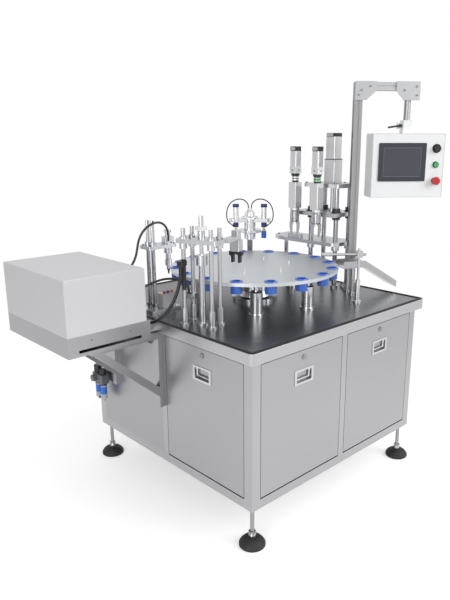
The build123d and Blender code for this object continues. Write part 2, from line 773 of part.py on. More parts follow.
# Vacuum cups on their cylinder rods
with BuildPart() as transfer_cups:
    cup_top = transfer_arm_low - 50
    rod(transfer.offset(cup_top), 5, transfer_stroke + 40, arm_ends)
    rod(transfer.offset(cup_top), 8, 14, arm_ends)
    rod(transfer.offset(cup_top - 38), 14, 38, arm_ends)
    rod(transfer.offset(cup_top - 38), 10, 16, arm_ends, mode=Mode.SUBTRACT)
transfer_cups.part.label = "transfer_cups"
export_step(transfer_cups.part, "parts/transfer_cups.step")

# Capping tower: the platform on clamp collars, with its own leg at the far end
tower = level(tower_x, tower_y, 0)
tower_posts_at = [(a * tower_post_along, b * tower_post_across) for a in (-1, 1) for b in (-1, 1)]
platform_low = platform_top - platform_thickness
platform_mid_x = (platform_inner + platform_outer) / 2
platform_mid_y = (platform_near + platform_far) / 2
leg_x = platform_outer - 85
leg_y = platform_far - 50
with BuildPart() as tower_platform:
    with BuildSketch(level(platform_mid_x, platform_mid_y, platform_low)) as deck:
        Rectangle(platform_outer - platform_inner, platform_far - platform_near)
        fillet(deck.vertices().sort_by(Axis.Y)[-2:].sort_by(Axis.X)[0], radius=90)
        fillet(deck.vertices().sort_by(Axis.Y)[:2].sort_by(Axis.X)[0], radius=40)
    extrude(amount=platform_thickness)
    rod(tower.offset(platform_low - 24), tower_post_radius + 8, 24, tower_posts_at)
    rod(tower.offset(platform_low - 24), tower_post_radius + 2 * running, 60, tower_posts_at,
        mode=Mode.SUBTRACT)
    rod(level(leg_x, leg_y, table_height), tower_post_radius, platform_low - table_height)
    rod(level(leg_x, leg_y, table_height), tower_post_radius + 12, 10)
    plate(level(platform_inner + 22, 120, platform_top), 28, 90, 22, corner=5)
tower_platform.part.label = "tower_platform"
export_step(tower_platform.part, "parts/tower_platform.step")

# Four hardened guide posts in their feet, with the top plate on them
with BuildPart() as tower_posts:
    rod(tower.offset(table_height), tower_post_radius, top_plate_low - table_height, tower_posts_at)
    rod(tower.offset(table_height), tower_post_radius + 7, 14, tower_posts_at)
    plate(tower.offset(top_plate_low), 172, 224, top_plate_thickness, corner=8)
    actuator_spot = ((actuator_x - tower_x, actuator_y - tower_y),)
    rod(tower.offset(top_plate_low), actuator_rod + 3, top_plate_thickness, actuator_spot, mode=Mode.SUBTRACT)
tower_posts.part.label = "tower_posts"
export_step(tower_posts.part, "parts/tower_posts.step")

# Lift actuator: housing with the rod's bore, servo motor and its cap
with BuildPart() as lift_actuator:
    actuator = level(actuator_x, actuator_y, top_plate_low + top_plate_thickness)
    plate(actuator, actuator_side, actuator_side, actuator_housing, corner=5)
    plate(actuator.offset(actuator_housing), actuator_side, actuator_side, 4, corner=3)
    plate(actuator.offset(actuator_housing + 4), servo_side, servo_side, servo_length, corner=6)
    plate(actuator.offset(actuator_housing + 4 + servo_length), servo_side - 2, servo_side - 2, servo_cap,
          corner=4)
    rod(actuator, actuator_rod + running, carriage_down + carriage_up + 6, mode=Mode.SUBTRACT)
lift_actuator.part.label = "lift_actuator"
export_step(lift_actuator.part, "parts/lift_actuator.step")

# Lifting carriage: plate, guide bushings and the actuator rod
spindle_x = puck_circle * cos(radians(puck_start))
spindle_y = puck_circle * sin(radians(puck_start))
spindles = ((spindle_x, spindle_y), (spindle_x, -spindle_y))
carriage_edge = spindle_x + spindle_side / 2
carriage_top = carriage_low + carriage_thickness
with BuildPart() as capping_carriage:
    plate(level((carriage_edge + platform_outer) / 2, (carriage_near + carriage_far) / 2, carriage_low),
          platform_outer - carriage_edge, carriage_far - carriage_near, carriage_thickness)
    fillet(capping_carriage.edges().filter_by(Axis.Z).group_by(Axis.X)[-1], radius=10)
    rod(tower.offset(carriage_low - 16), tower_post_radius + 8, 58, tower_posts_at)
    rod(level(actuator_x, actuator_y, carriage_top), actuator_rod + 8, 12)
    rod_length = top_plate_low + top_plate_thickness + carriage_down + 2 - carriage_top
    rod(level(actuator_x, actuator_y, carriage_top), actuator_rod, rod_length)
    rod(tower.offset(carriage_low - 20), tower_post_radius + running, 80, tower_posts_at, mode=Mode.SUBTRACT)
capping_carriage.part.label = "capping_carriage"
export_step(capping_carriage.part, "parts/capping_carriage.step")

# Spindle drives: flange, square housing, coupling, gearbox, servo and cap on each
with BuildPart() as spindle_bodies:
    housing_top = spindle_flange + spindle_housing
    gearbox_low = housing_top + coupling_length + gearbox_neck
    servo_low = gearbox_low + gearbox_length
    servo_top = servo_low + spindle_servo
    for place_x, place_y in spindles:
        spindle = level(place_x, place_y, spindle_bottom)
        rod(spindle, chuck_radius, spindle_flange)
        plate(spindle.offset(spindle_flange), spindle_side, spindle_side, spindle_housing, corner=4)
        rod(spindle.offset(housing_top), 17, coupling_length)
        rod(spindle.offset(housing_top + 10), 19, 6)
        rod(spindle.offset(housing_top + 22), 19, 6)
        rod(spindle.offset(gearbox_low - gearbox_neck), 22, gearbox_neck)
        plate(spindle.offset(gearbox_low), 45, 45, gearbox_length, corner=3)
        plate(spindle.offset(servo_low), 42, 42, spindle_servo, corner=5)
        plate(spindle.offset(servo_top), 40, 40, spindle_cap, corner=3)
        rod(spindle, chuck_spigot + running, 70, mode=Mode.SUBTRACT)
spindle_bodies.part.label = "spindle_bodies"
export_step(spindle_bodies.part, "parts/spindle_bodies.step")

# Capping chucks, each with two sliding fingers in its cross slot
chuck_top = spindle_bottom - seat_gap
chuck_low = chuck_top - chuck_length
for chuck_name, (place_x, place_y) in (("first", spindles[0]), ("second", spindles[1])):
    with BuildPart() as chuck:
        turned(place_x, place_y, (
            (0, chuck_low), (chuck_radius - 3, chuck_low), (chuck_radius, chuck_low + 6),
            (chuck_radius, chuck_top - 8), (chuck_radius - 4, chuck_top), (chuck_spigot, chuck_top),
            (chuck_spigot, chuck_top + 62), (0, chuck_top + 62)))
        plate(level(place_x, place_y, chuck_low, finger_turn), 2 * chuck_radius + 2, finger_width / 2,
              finger_slot, mode=Mode.SUBTRACT)
    chuck.part.label = f"{chuck_name}_chuck"
    export_step(chuck.part, f"parts/{chuck_name}_chuck.step")
    for finger_name, hand in (("a", -1), ("b", 1)):
        with BuildPart() as finger:
            finger_top = chuck_low - seat_gap
            near = hand * finger_gap
            plate(level(place_x, place_y, finger_top, finger_turn), 10, finger_width / 2 - 2 * seat_gap,
                  finger_slot, ((hand * (finger_gap + 5), 0),))
            with BuildSketch(upright(place_x, place_y, 0, finger_turn).offset(-finger_width / 2)) as outline:
                with BuildLine():
                    Polyline(
                        (near - hand * 4, finger_top), (near + hand * 15, finger_top),
                        (near + hand * 15, finger_top - 30), (near + hand * 8, finger_top - finger_length),
                        (near, finger_top - finger_length), (near, finger_top - 18),
                        (near - hand * 4, finger_top - 10), close=True)
                make_face()
            extrude(outline.sketch, amount=finger_width)
        finger.part.label = f"{chuck_name}_finger_{finger_name}"
        export_step(finger.part, f"parts/{chuck_name}_finger_{finger_name}.step")

# Bottle sensor: foot, sleeve, rod, cross clamp, level bar and the sensor head
with BuildPart() as sensor_post:
    turned(sensor_x, sensor_y, (
        (0, table_height), (20, table_height), (20, table_height + 8), (12, table_height + 12),
        (12, table_height + 110), (sensor_rod, table_height + 112), (sensor_rod, sensor_top),
        (0, sensor_top)))
    plate(level(sensor_x, sensor_y, sensor_level - 14, transfer_turn), 28, 44, 28, ((0, -8),), corner=4)
    bar_end = across(upright(sensor_x, sensor_y, sensor_level, transfer_turn).offset(16), -155)
    rod(bar_end, sensor_rod, 185)
    rod(bar_end.offset(-22), 9, 52)
sensor_post.part.label = "sensor_post"
export_step(sensor_post.part, "parts/sensor_post.step")

# Discharge chute: a folded trough from the dial's rim down over the table's edge, on two legs
with BuildPart() as discharge_chute:
    chute_side = upright(chute_x, chute_y, 0, chute_turn)
    slope_end = chute_level_run + chute_slope_run
    with BuildSketch(chute_side.offset(-chute_width / 2)) as side_view:
        with BuildLine():
            Polyline(
                (0, chute_high), (chute_level_run, chute_high), (slope_end, chute_high - chute_drop),
                (slope_end, chute_high - chute_drop + chute_wall), (chute_level_run, chute_high + chute_wall),
                (0, chute_high + chute_wall), close=True)
        make_face()
    extrude(side_view.sketch, amount=chute_width)
    with BuildSketch(chute_side.offset(chute_sheet - chute_width / 2)) as inside_view:
        with BuildLine():
            Polyline(
                (-1, chute_high + chute_sheet), (chute_level_run, chute_high + chute_sheet),
                (slope_end + 1, chute_high - chute_drop + chute_sheet),
                (slope_end + 1, chute_high + 2 * chute_wall), (-1, chute_high + 2 * chute_wall), close=True)
        make_face()
    extrude(inside_view.sketch, amount=chute_width - 2 * chute_sheet, mode=Mode.SUBTRACT)
    chute_plan = level(chute_x, chute_y, table_height, chute_turn)
    rod(chute_plan, 8, chute_high - table_height, ((60, -26), (60, 26)))
    rod(chute_plan, 16, 8, ((60, -26), (60, 26)))
discharge_chute.part.label = "discharge_chute"
export_step(discharge_chute.part, "parts/discharge_chute.step")


def profile_bar(plane, length):
    """A slotted aluminium profile, raised from a plane."""
    with BuildSketch(plane) as section:
        RectangleRounded(profile_side, profile_side, 2)
        slot_at = profile_side / 2 - profile_groove / 2
        with Locations((slot_at, 0), (-slot_at, 0)):
            Rectangle(profile_groove, profile_slot, mode=Mode.SUBTRACT)
        with Locations((0, slot_at), (0, -slot_at)):
            Rectangle(profile_slot, profile_groove, mode=Mode.SUBTRACT)
    extrude(section.sketch, amount=length)


# Panel stand: profile pole and beam, corner brackets and the hanging tube
with BuildPart() as panel_stand:
    pole = level(pole_x, pole_y, 0, panel_turn)
    beam_side = upright(pole_x, pole_y, 0, panel_turn)
    half_profile = profile_side / 2
    plate(pole.offset(table_height), 92, 92, 12, corner=8)
    profile_bar(pole.offset(table_height + 12), pole_top - table_height - 12)
    profile_bar(across(beam_side, half_profile, pole_top - half_profile), beam_length)
    bracket_low = pole_top - 84
    bracket_high = pole_top + 3
    bracket_end = half_profile + beam_length
    with BuildSketch(beam_side.offset(half_profile)):
        with BuildLine():
            Polyline(
                (-half_profile, bracket_high), (84, bracket_high), (84, pole_top - profile_side),
                (36, bracket_low), (-half_profile, bracket_low), close=True)
        make_face()
        with BuildLine():
            Polyline(
                (bracket_end - 118, bracket_high), (bracket_end, bracket_high), (bracket_end, bracket_low),
                (bracket_end - 78, bracket_low), (bracket_end - 118, pole_top - profile_side), close=True)
        make_face()
    extrude(amount=bracket_thickness)
    hanger_top = pole_top - profile_side
    hanger_low = box_bottom + box_height + 8
    hanger_spot = ((hanger_reach, 0),)
    rod(pole.offset(hanger_low), hanger_radius, hanger_top - hanger_low, hanger_spot)
    rod(pole.offset(hanger_top - 10), hanger_radius + 10, 10, hanger_spot)
panel_stand.part.label = "panel_stand"
export_step(panel_stand.part, "parts/panel_stand.step")

# Operator box: the swivel neck on the hanging tube, the hollow box and its back plate
hanger_x = pole_x + hanger_reach * cos(radians(panel_turn))
hanger_y = pole_y + hanger_reach * sin(radians(panel_turn))
box = level(hanger_x, hanger_y, box_bottom, panel_turn)
box_face = upright(hanger_x, hanger_y, box_bottom + box_height / 2, panel_turn).offset(box_depth / 2)
controls = ((control_along, knob_up), (control_along, start_up), (control_along, stop_up))
with BuildPart() as panel_box:
    plate(box, box_width, box_depth, box_height, corner=4)
    with BuildSketch(box_face.offset(-sheet)):
        Rectangle(box_width - 2 * sheet, box_height - 2 * sheet)
    extrude(amount=-box_depth, mode=Mode.SUBTRACT)
    with BuildSketch(box_face.offset(-box_depth)):
        Rectangle(box_width - 2 * sheet - 2 * running, box_height - 2 * sheet - 2 * running)
    extrude(amount=sheet)
    plate(box.offset(box_height), neck_width, neck_width, neck_height, corner=8)
    plate(box.offset(box_height + 22), 26, 20, 30, ((-neck_width / 2 - 8, 0),), corner=4)
    rod(box.offset(box_height + 7), hanger_radius + running, neck_height, mode=Mode.SUBTRACT)
    rod(box_face.offset(1), 6 + running, -4, controls, mode=Mode.SUBTRACT)
panel_box.part.label = "panel_box"
export_step(panel_box.part, "parts/panel_box.step")

# Touch screen in its bezel
with BuildPart() as panel_screen:
    screen_spot = ((screen_along, screen_up),)
    plate(box_face, screen_width, screen_height, 5, screen_spot, corner=5)
    plate(box_face.offset(3), screen_width - 44, screen_height - 40, 2, screen_spot, corner=2,
          mode=Mode.SUBTRACT)
panel_screen.part.label = "panel_screen"
export_step(panel_screen.part, "parts/panel_screen.step")

# Clamp lever of the swivel neck
with BuildPart() as clamp_lever:
    lever_x = -neck_width / 2 - 10
    lever_level = box_bottom + box_height + 37
    lever_face = upright(hanger_x, hanger_y, lever_level, panel_turn).offset(10 + seat_gap)
    rod(lever_face, 8, 16, ((lever_x, 0),))
    with BuildSketch(lever_face.offset(6)):
        with Locations((lever_x - 31, -4)):
            Rectangle(62, 9, rotation=8)
    extrude(amount=9)
clamp_lever.part.label = "clamp_lever"
export_step(clamp_lever.part, "parts/clamp_lever.step")

# Speed knob
with BuildPart() as speed_knob:
    knob_spot = ((control_along, knob_up),)
    rod(box_face.offset(seat_gap), 22, 2, knob_spot)
    rod(box_face.offset(seat_gap + 2), 16, 17, knob_spot)
    rod(box_face.offset(seat_gap), 6, -12, knob_spot)
    plate(box_face.offset(seat_gap + 18), 3, 13, 2, ((control_along, knob_up + 8),))
speed_knob.part.label = "speed_knob"
export_step(speed_knob.part, "parts/speed_knob.step")

# Start button
with BuildPart() as start_button:
    start_spot = ((control_along, start_up),)
    rod(box_face.offset(6), 12, 5, start_spot)
    rod(box_face.offset(6), 6, -16, start_spot)
start_button.part.label = "start_button"
export_step(start_button.part, "parts/start_button.step")

# Stop button with its mushroom head
with BuildPart() as stop_button:
    stop_spot = ((control_along, stop_up),)
    rod(box_face.offset(20), 20, 12, stop_spot)
    fillet(stop_button.edges().sort_by(Axis(box_face.origin, box_face.z_dir))[-1], radius=6)
    rod(box_face.offset(14), 11, 6, stop_spot)
    rod(box_face.offset(14), 6, -24, stop_spot)
stop_button.part.label = "stop_button"
export_step(stop_button.part, "parts/stop_button.step")

# Cap feeder: the plain cover over it, open underneath
with BuildPart() as feeder_cover:
    cover_plan = level(-(cover_outer + cover_inner) / 2, (cover_near + cover_far) / 2, cover_low)
    cover_length = cover_outer - cover_inner
    cover_width = cover_far - cover_near
    cover_height = cover_top - cover_low
    plate(cover_plan, cover_length, cover_width, cover_height)
    fillet(feeder_cover.edges().group_by(Axis.Z)[-1], radius=3)
    plate(cover_plan, cover_length - 2 * sheet, cover_width - 2 * sheet, cover_height - sheet,
          mode=Mode.SUBTRACT)
    for port_y, port_level in (feed_port, arch_port):
        rod(across(upright(-cover_inner, port_y, port_level)), feed_radius + 3, port_reach)
feeder_cover.part.label = "feeder_cover"
export_step(feeder_cover.part, "parts/feeder_cover.step")

# Feeder shelf: folded tray with a slotted front, and the tubes of its two bracket triangles
with BuildPart() as feeder_shelf:
    shelf_x = -(cover_outer + shelf_inner) / 2
    shelf_length = cover_outer - shelf_inner
    shelf_plan = level(shelf_x, (cover_near + cover_far) / 2, shelf_floor)
    plate(shelf_plan, shelf_length, cover_width, cover_low - shelf_floor)
    plate(shelf_plan.offset(shelf_sheet), shelf_length - 2 * shelf_sheet, cover_width - 2 * shelf_sheet,
          cover_low - shelf_floor, mode=Mode.SUBTRACT)
    plate(upright(shelf_x, cover_near, shelf_floor + 20), shelf_length - 90, 12, -shelf_sheet,
          mode=Mode.SUBTRACT)
    tube_low = shelf_floor - bracket_tube
    tube_run = bracket_reach - half_side
    for place in bracket_places:
        plate(level(-half_side - tube_run / 2, place, tube_low), tube_run, bracket_tube, bracket_tube)
        plate(level(-half_side - bracket_tube / 2, place, bracket_foot), bracket_tube, bracket_tube,
              tube_low - bracket_foot)
        with BuildSketch(upright(0, place, 0).offset(-bracket_tube / 2)) as brace:
            with BuildLine():
                Polyline(
                    (-bracket_reach + 8, tube_low), (-bracket_reach + 52, tube_low),
                    (-half_side - bracket_tube, bracket_foot + 96),
                    (-half_side - bracket_tube, bracket_foot + 52), close=True)
            make_face()
        extrude(brace.sketch, amount=bracket_tube)
feeder_shelf.part.label = "feeder_shelf"
export_step(feeder_shelf.part, "parts/feeder_shelf.step")

# Air preparation unit: bracket, regulator and lubricator blocks with their bowls
air_side = cabinet_face(-90)
air_places = ((air_along - air_block / 2 - 2, 0), (air_along + air_block / 2 + 2, 0))
air_out = half_side + 24 + air_block / 2
with BuildPart() as air_unit:
    plate(air_side, 96, 44, 4, ((air_along, air_level + 20),), corner=4)
    plate(air_side.offset(4), 60, 26, 20, ((air_along, air_level + 20),))
    air_plan = level(-air_out, 0, air_level, -90)
    plate(air_plan, 2 * air_block + 6, air_block, 46, ((air_along, 0),), corner=4)
    rod(air_plan, 17, -10, air_places)
    rod(air_plan.offset(-10), 16, -70, air_places)
    rod(air_plan.offset(-80), 6, -16, air_places)
    rod(air_plan.offset(46), 16, 26, air_places[1:])
    rod(air_plan.offset(46), 8 + running, -20, air_places[:1], mode=Mode.SUBTRACT)
    rod(air_side.offset(24 + air_block), 17, 14, ((air_places[0][0], air_level + 22),))
air_unit.part.label = "air_unit"
export_step(air_unit.part, "parts/air_unit.step")

# Regulator knob
with BuildPart() as regulator_knob:
    rod(air_plan.offset(46 + seat_gap), 19, 40, air_places[:1])
    fillet(regulator_knob.edges().group_by(Axis.Z)[-1], radius=4)
    rod(air_plan.offset(46 + seat_gap), 8, -18, air_places[:1])
regulator_knob.part.label = "regulator_knob"
export_step(regulator_knob.part, "parts/regulator_knob.step")


def hose(points, radius):
    """A tube of straight runs and tangent arcs, each arc as large as its two runs allow."""
    bends = []
    for before, corner, after in zip(points, points[1:], points[2:]):
        turn = (corner - before).get_angle(after - corner)
        shorter = min((corner - before).length, (after - corner).length)
        bends.append(0.45 * shorter / tan(radians(turn / 2)))
    with BuildLine() as route:
        FilletPolyline(*points, radius=bends)
    with BuildSketch(Plane(points[0], z_dir=points[1] - points[0])) as section:
        Circle(radius)
    sweep(section.sketch, path=route.line)


def placed(route):
    """The points of a route measured from the middle of the table's top."""
    return [Vector(cabinet_x + x, y, table_height + z) for x, y, z in route]


# Hose bundle from the placer stand down over the table's edge into the cabinet's side
loop_start = hose_clamp_level - 8 - table_height
with BuildPart() as hose_loop:
    hose(placed((
        (-550.5, -130.1, loop_start), (-550.5, -130.1, 212), (-556, -124, 168), (-567, -114, 122),
        (-582, -98, 80), (-598, -74, 43), (-611, -42, 15), (-620, -4, 1), (-624, 34, -14), (-622, 66, -44),
        (-613, 82, -78), (-594, 88, -104), (-568, 89, -114))), loop_radius)
hose_loop.part.label = "hose_loop"
export_step(hose_loop.part, "parts/hose_loop.step")

# Hose arching from the cap pick station to the feeder
port_end = port_reach - cover_inner
arch_y, arch_level = arch_port
with BuildPart() as hose_arch:
    hose(placed((
        (-420, 122, 314), (-420, 122, 344), (-430, 119, 376), (-456, 112, 398), (-490, 108, 406),
        (-524, 115, 396), (-550, 128, 370), (-564, 141, 334), (-570, 146, 296), (-577, 149, 260),
        (-594, 151, 228), (-620, 152, 207), (-646, 152, 201),
        (port_end, arch_y, arch_level - table_height))), feed_radius)
hose_arch.part.label = "hose_arch"
export_step(hose_arch.part, "parts/hose_arch.step")

# Hose from the feeder to the placer stand
feed_y, feed_level = feed_port
feed_end = feed_clamp_level + 20 - table_height
with BuildPart() as hose_feed:
    hose(placed((
        (port_end, feed_y, feed_level - table_height), (-642, 0, 162), (-600, -8, 174), (-556, -20, 184),
        (-516, -36, 182), (-482, -56, 168), (-462.3, -71, 146), (-462.3, -71, feed_end))), feed_radius)
hose_feed.part.label = "hose_feed"
export_step(hose_feed.part, "parts/hose_feed.step")

# Air tubes from the transfer arm's dome down to its two cylinders
for tube_name, hand in (("left", -1), ("right", 1)):
    with BuildPart() as arm_tube:
        bows = ((8, 56), (8, 75), (24, 96), (50, 106), (80, 102), (106, 85), (122, 59), (128, 29), (127, 1),
                (119, -23), (97, -37))
        route = [transfer.from_local_coords(Vector(hand * along, 0, arm_top + up)) for along, up in bows]
        hose(route, arm_tube_radius)
    arm_tube.part.label = f"arm_tube_{tube_name}"
    export_step(arm_tube.part, f"parts/arm_tube_{tube_name}.step")
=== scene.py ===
"""The looks of the bottle filling and capping machine: finishes, hoses and small fittings."""
import logging
import math
from dataclasses import dataclass
from enum import Enum
from typing import Callable, Optional, Sequence, Union

import bpy
import numpy as np
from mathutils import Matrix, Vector


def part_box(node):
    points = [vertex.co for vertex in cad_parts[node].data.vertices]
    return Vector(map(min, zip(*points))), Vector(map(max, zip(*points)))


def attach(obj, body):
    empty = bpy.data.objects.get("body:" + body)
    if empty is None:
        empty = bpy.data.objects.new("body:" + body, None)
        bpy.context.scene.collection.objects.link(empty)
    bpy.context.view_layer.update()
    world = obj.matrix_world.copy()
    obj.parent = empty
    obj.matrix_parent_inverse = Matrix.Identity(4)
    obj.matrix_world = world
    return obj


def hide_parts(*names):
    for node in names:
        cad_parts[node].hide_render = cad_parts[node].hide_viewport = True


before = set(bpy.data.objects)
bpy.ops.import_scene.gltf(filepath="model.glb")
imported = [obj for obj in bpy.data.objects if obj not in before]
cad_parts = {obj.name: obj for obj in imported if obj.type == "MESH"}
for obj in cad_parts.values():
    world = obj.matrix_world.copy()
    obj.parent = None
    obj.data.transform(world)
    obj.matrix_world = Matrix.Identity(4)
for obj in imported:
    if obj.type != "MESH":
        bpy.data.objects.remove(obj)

LOG = logging.getLogger("machine")
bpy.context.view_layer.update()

# A pair is a place on the ground, a width and a height, or a low and a high level, in metres.
Colour = tuple[float, float, float]
Point = tuple[float, float, float]
Pair = tuple[float, float]
Number = Union["Value", float]
Face = list[int]


class Axis(Enum):
    """A direction in the machine's frame, by its place in a coordinate triple."""

    X = 0
    Y = 1
    Z = 2


# Shader maths


def maths(operation: str, swapped: bool = False) -> Callable[..., "Value"]:
    """A method that adds one Math node on its own value and at most one other number.

    Args:
        operation: the node's operation.
        swapped: whether the other number comes first.

    Returns:
        The method.
    """
    def method(value: "Value", *others: Number) -> "Value":
        """The operation's result.

        Args:
            value: the number that the method belongs to.
            others: the other number, where the operation takes one.

        Returns:
            The result.
        """
        numbers = (*others, value) if swapped else (value, *others)
        made = value.nodes.node("ShaderNodeMath", dict(enumerate(numbers)), operation=operation)
        return Value(value.nodes, made.outputs[0])

    return method


class Value:
    """A number in a material's nodes. Python operators on it add Math nodes."""

    __add__ = maths("ADD")
    __radd__ = maths("ADD", swapped=True)
    __sub__ = maths("SUBTRACT")
    __rsub__ = maths("SUBTRACT", swapped=True)
    __mul__ = maths("MULTIPLY")
    __truediv__ = maths("DIVIDE")
    __gt__ = maths("GREATER_THAN")
    least = maths("MINIMUM")
    most = maths("MAXIMUM")
    sine = maths("SINE")

    def __init__(self, nodes: "Nodes", socket: bpy.types.NodeSocket) -> None:
        """Wraps an output socket."""
        self.nodes = nodes
        self.socket = socket


class Nodes:
    """The node tree of one material, or of the world."""

    def __init__(self, owner: Union[bpy.types.Material, bpy.types.World]) -> None:
        """Clears the owner's nodes.

        Args:
            owner: the material or world to fill.
        """
        owner.use_nodes = True
        self.tree = owner.node_tree
        self.tree.nodes.clear()
        self._place: Optional[bpy.types.NodeSocket] = None
        self.shader: Optional[bpy.types.Node] = None
        if isinstance(owner, bpy.types.Material):
            self.shader = self.tree.nodes.new("ShaderNodeBsdfPrincipled")
            output = self.tree.nodes.new("ShaderNodeOutputMaterial")
            self.tree.links.new(self.shader.outputs["BSDF"], output.inputs["Surface"])

    def node(self, kind: str, inputs: Optional[dict[object, object]] = None,
             **settings: object) -> bpy.types.Node:
        """Adds one node.

        Args:
            kind: the node's type.
            inputs: values or links of its sockets, by name or number.
            settings: its own settings, set first.

        Returns:
            The new node.
        """
        made = self.tree.nodes.new(kind)
        for name, setting in settings.items():
            setattr(made, name, setting)
        for key, given in (inputs or {}).items():
            self.feed(made.inputs[key], given)
        return made

    def feed(self, socket: bpy.types.NodeSocket, given: object) -> None:
        """Links a value or a socket to an input, or sets the input to a number or a colour.

        Args:
            socket: the input.
            given: what it gets.
        """
        if isinstance(given, Value):
            given = given.socket
        if isinstance(given, bpy.types.NodeSocket):
            self.tree.links.new(given, socket)
        elif isinstance(given, tuple) and len(given) == 3 and socket.type == "RGBA":
            socket.default_value = (*given, 1.0)
        else:
            socket.default_value = given

    def place(self) -> bpy.types.NodeSocket:
        """The point on the surface, in the machine's frame, in metres.

        Returns:
            The socket of the point, made once.
        """
        if self._place is None:
            self._place = self.node("ShaderNodeTexCoord").outputs["Object"]
        return self._place

    def along(self, axis: Axis) -> Value:
        """One coordinate of the point on the surface."""
        parts = self.node("ShaderNodeSeparateXYZ", {0: self.place()})
        return Value(self, parts.outputs[axis.value])

    def rays(self, *kinds: str) -> Value:
        """One for rays of any of the kinds, else nought.

        Args:
            kinds: the kinds of ray, as Blender names them.

        Returns:
            The share.
        """
        paths = self.node("ShaderNodeLightPath").outputs
        share = Value(self, paths[f"Is {kinds[0]} Ray"])
        for kind in kinds[1:]:
            share = share.most(Value(self, paths[f"Is {kind} Ray"]))
        return share

    def noise(self, scale: Sequence[float], detail: float = 2.0) -> Value:
        """Smooth noise from nought to one, with its own scale along each axis.

        Args:
            scale: cycles in a metre along X, Y and Z.
            detail: how many finer layers are added.

        Returns:
            The noise.
        """
        stretched = self.node("ShaderNodeMapping", {"Vector": self.place(), "Scale": tuple(scale)})
        inputs = {"Vector": stretched.outputs[0], "Scale": 1.0, "Detail": detail}
        return Value(self, self.node("ShaderNodeTexNoise", inputs).outputs[0])

    def streaks(self, along: Axis, fine: float, stretch: float) -> Value:
        """Noise drawn out along one axis.

        Args:
            along: the axis.
            fine: cycles in a metre across the streaks.
            stretch: how many times longer than wide a streak is.

        Returns:
            The noise.
        """
        scale = [fine] * 3
        scale[along.value] = fine / stretch
        return self.noise(scale, 3.0)

    def blend(self, share: Number, first: object, second: object) -> bpy.types.NodeSocket:
        """A colour between two colours, by share.

        Args:
            share: nought for the first colour, one for the second.
            first: a colour or a colour socket.
            second: a colour or a colour socket.

        Returns:
            The mixed colour's socket.
        """
        inputs = {0: share, 6: first, 7: second}
        return self.node("ShaderNodeMix", inputs, data_type="RGBA").outputs[2]

    def bump(self, height: Value, strength: float, depth: float) -> None:
        """Bends the shader's normal by a height.

        Args:
            height: the height, from nought to one.
            strength: how much of the bend is kept.
            depth: what a height of one stands for, in metres.
        """
        bent = self.node("ShaderNodeBump", {"Height": height, "Strength": strength, "Distance": depth})
        self.dress(Normal=bent.outputs[0])

    def dress(self, **inputs: object) -> None:
        """Sets inputs of the principled shader, by name with low lines for spaces."""
        for name, given in inputs.items():
            self.feed(self.shader.inputs[name.replace("_", " ")], given)


def tint(colour: Colour, by: float) -> Colour:
    """A colour made lighter or darker by a factor."""
    return tuple(min(1.0, part * by) for part in colour)


@dataclass(frozen=True)
class Finish:
    """A smooth surface with faint cloudiness: the start of every other finish."""

    name: str
    colour: Colour
    roughness: float = 0.4
    metallic: float = 0.0
    spread: float = 0.06
    coat: float = 0.0
    cloud: float = 9.0

    def make(self) -> bpy.types.Material:
        """The material, made once.

        Returns:
            The material of this finish.
        """
        made = bpy.data.materials.get(self.name)
        if made is None:
            made = bpy.data.materials.new(self.name)
            nodes = Nodes(made)
            nodes.dress(Metallic=self.metallic, Roughness=self.roughness, Coat_Weight=self.coat)
            self.paint(nodes)
        return made

    def shades(self, colour: Optional[Colour] = None) -> tuple[Colour, Colour]:
        """The darker and the lighter shade of a colour, or of the finish's own."""
        colour = colour or self.colour
        return tint(colour, 1 - self.spread), tint(colour, 1 + self.spread)

    def paint(self, nodes: Nodes) -> None:
        """Cloudy colour and roughness.

        Args:
            nodes: the material's nodes.
        """
        cloud = nodes.noise((self.cloud,) * 3, 3.0)
        nodes.dress(Base_Color=nodes.blend(cloud, *self.shades()))
        reach = self.roughness * self.spread
        nodes.dress(Roughness=self.roughness - reach + cloud * (2 * reach))


@dataclass(frozen=True)
class Brushed(Finish):
    """Brushed metal: fine streaks along one axis in colour, roughness and height."""

    along: Axis = Axis.Z
    metallic: float = 1.0
    streaks: float = 900.0
    stretch: float = 150.0
    depth: float = 0.00004
    cloud: float = 3.0
    streak_share: float = 0.6
    smoother: float = 0.08
    streak_rough: float = 0.12
    cloud_rough: float = 0.06
    strength: float = 0.25

    def paint(self, nodes: Nodes) -> None:
        """Noise drawn out along the brushing, over broad clouds.

        Args:
            nodes: the material's nodes.
        """
        streak = nodes.streaks(self.along, self.streaks, self.stretch)
        cloud = nodes.noise((self.cloud,) * 3, 2.0)
        marks = streak * self.streak_share + cloud * (1 - self.streak_share)
        nodes.dress(Base_Color=nodes.blend(marks, *self.shades()))
        rough = self.roughness - self.smoother + streak * self.streak_rough + cloud * self.cloud_rough
        nodes.dress(Roughness=rough)
        nodes.bump(streak, self.strength, self.depth)


@dataclass(frozen=True)
class Turned(Finish):
    """Bright turned metal: faint rings along the axis of the bar."""

    along: Axis = Axis.Z
    metallic: float = 1.0
    rings: float = 2600.0
    waver: float = 6.0
    cloud: float = 25.0
    smoother: float = 0.05
    ring_rough: float = 0.03
    haze_rough: float = 0.08
    strength: float = 0.06
    depth: float = 0.00001

    def paint(self, nodes: Nodes) -> None:
        """Rings from a sine of the place along the axis, softened by noise.

        Args:
            nodes: the material's nodes.
        """
        haze = nodes.noise((self.cloud,) * 3, 3.0)
        ring = (nodes.along(self.along) * self.rings + haze * self.waver).sine() * 0.5 + 0.5
        nodes.dress(Base_Color=nodes.blend(haze, *self.shades()))
        rough = self.roughness + ring * self.ring_rough + haze * self.haze_rough - self.smoother
        nodes.dress(Roughness=rough)
        nodes.bump(ring, self.strength, self.depth)


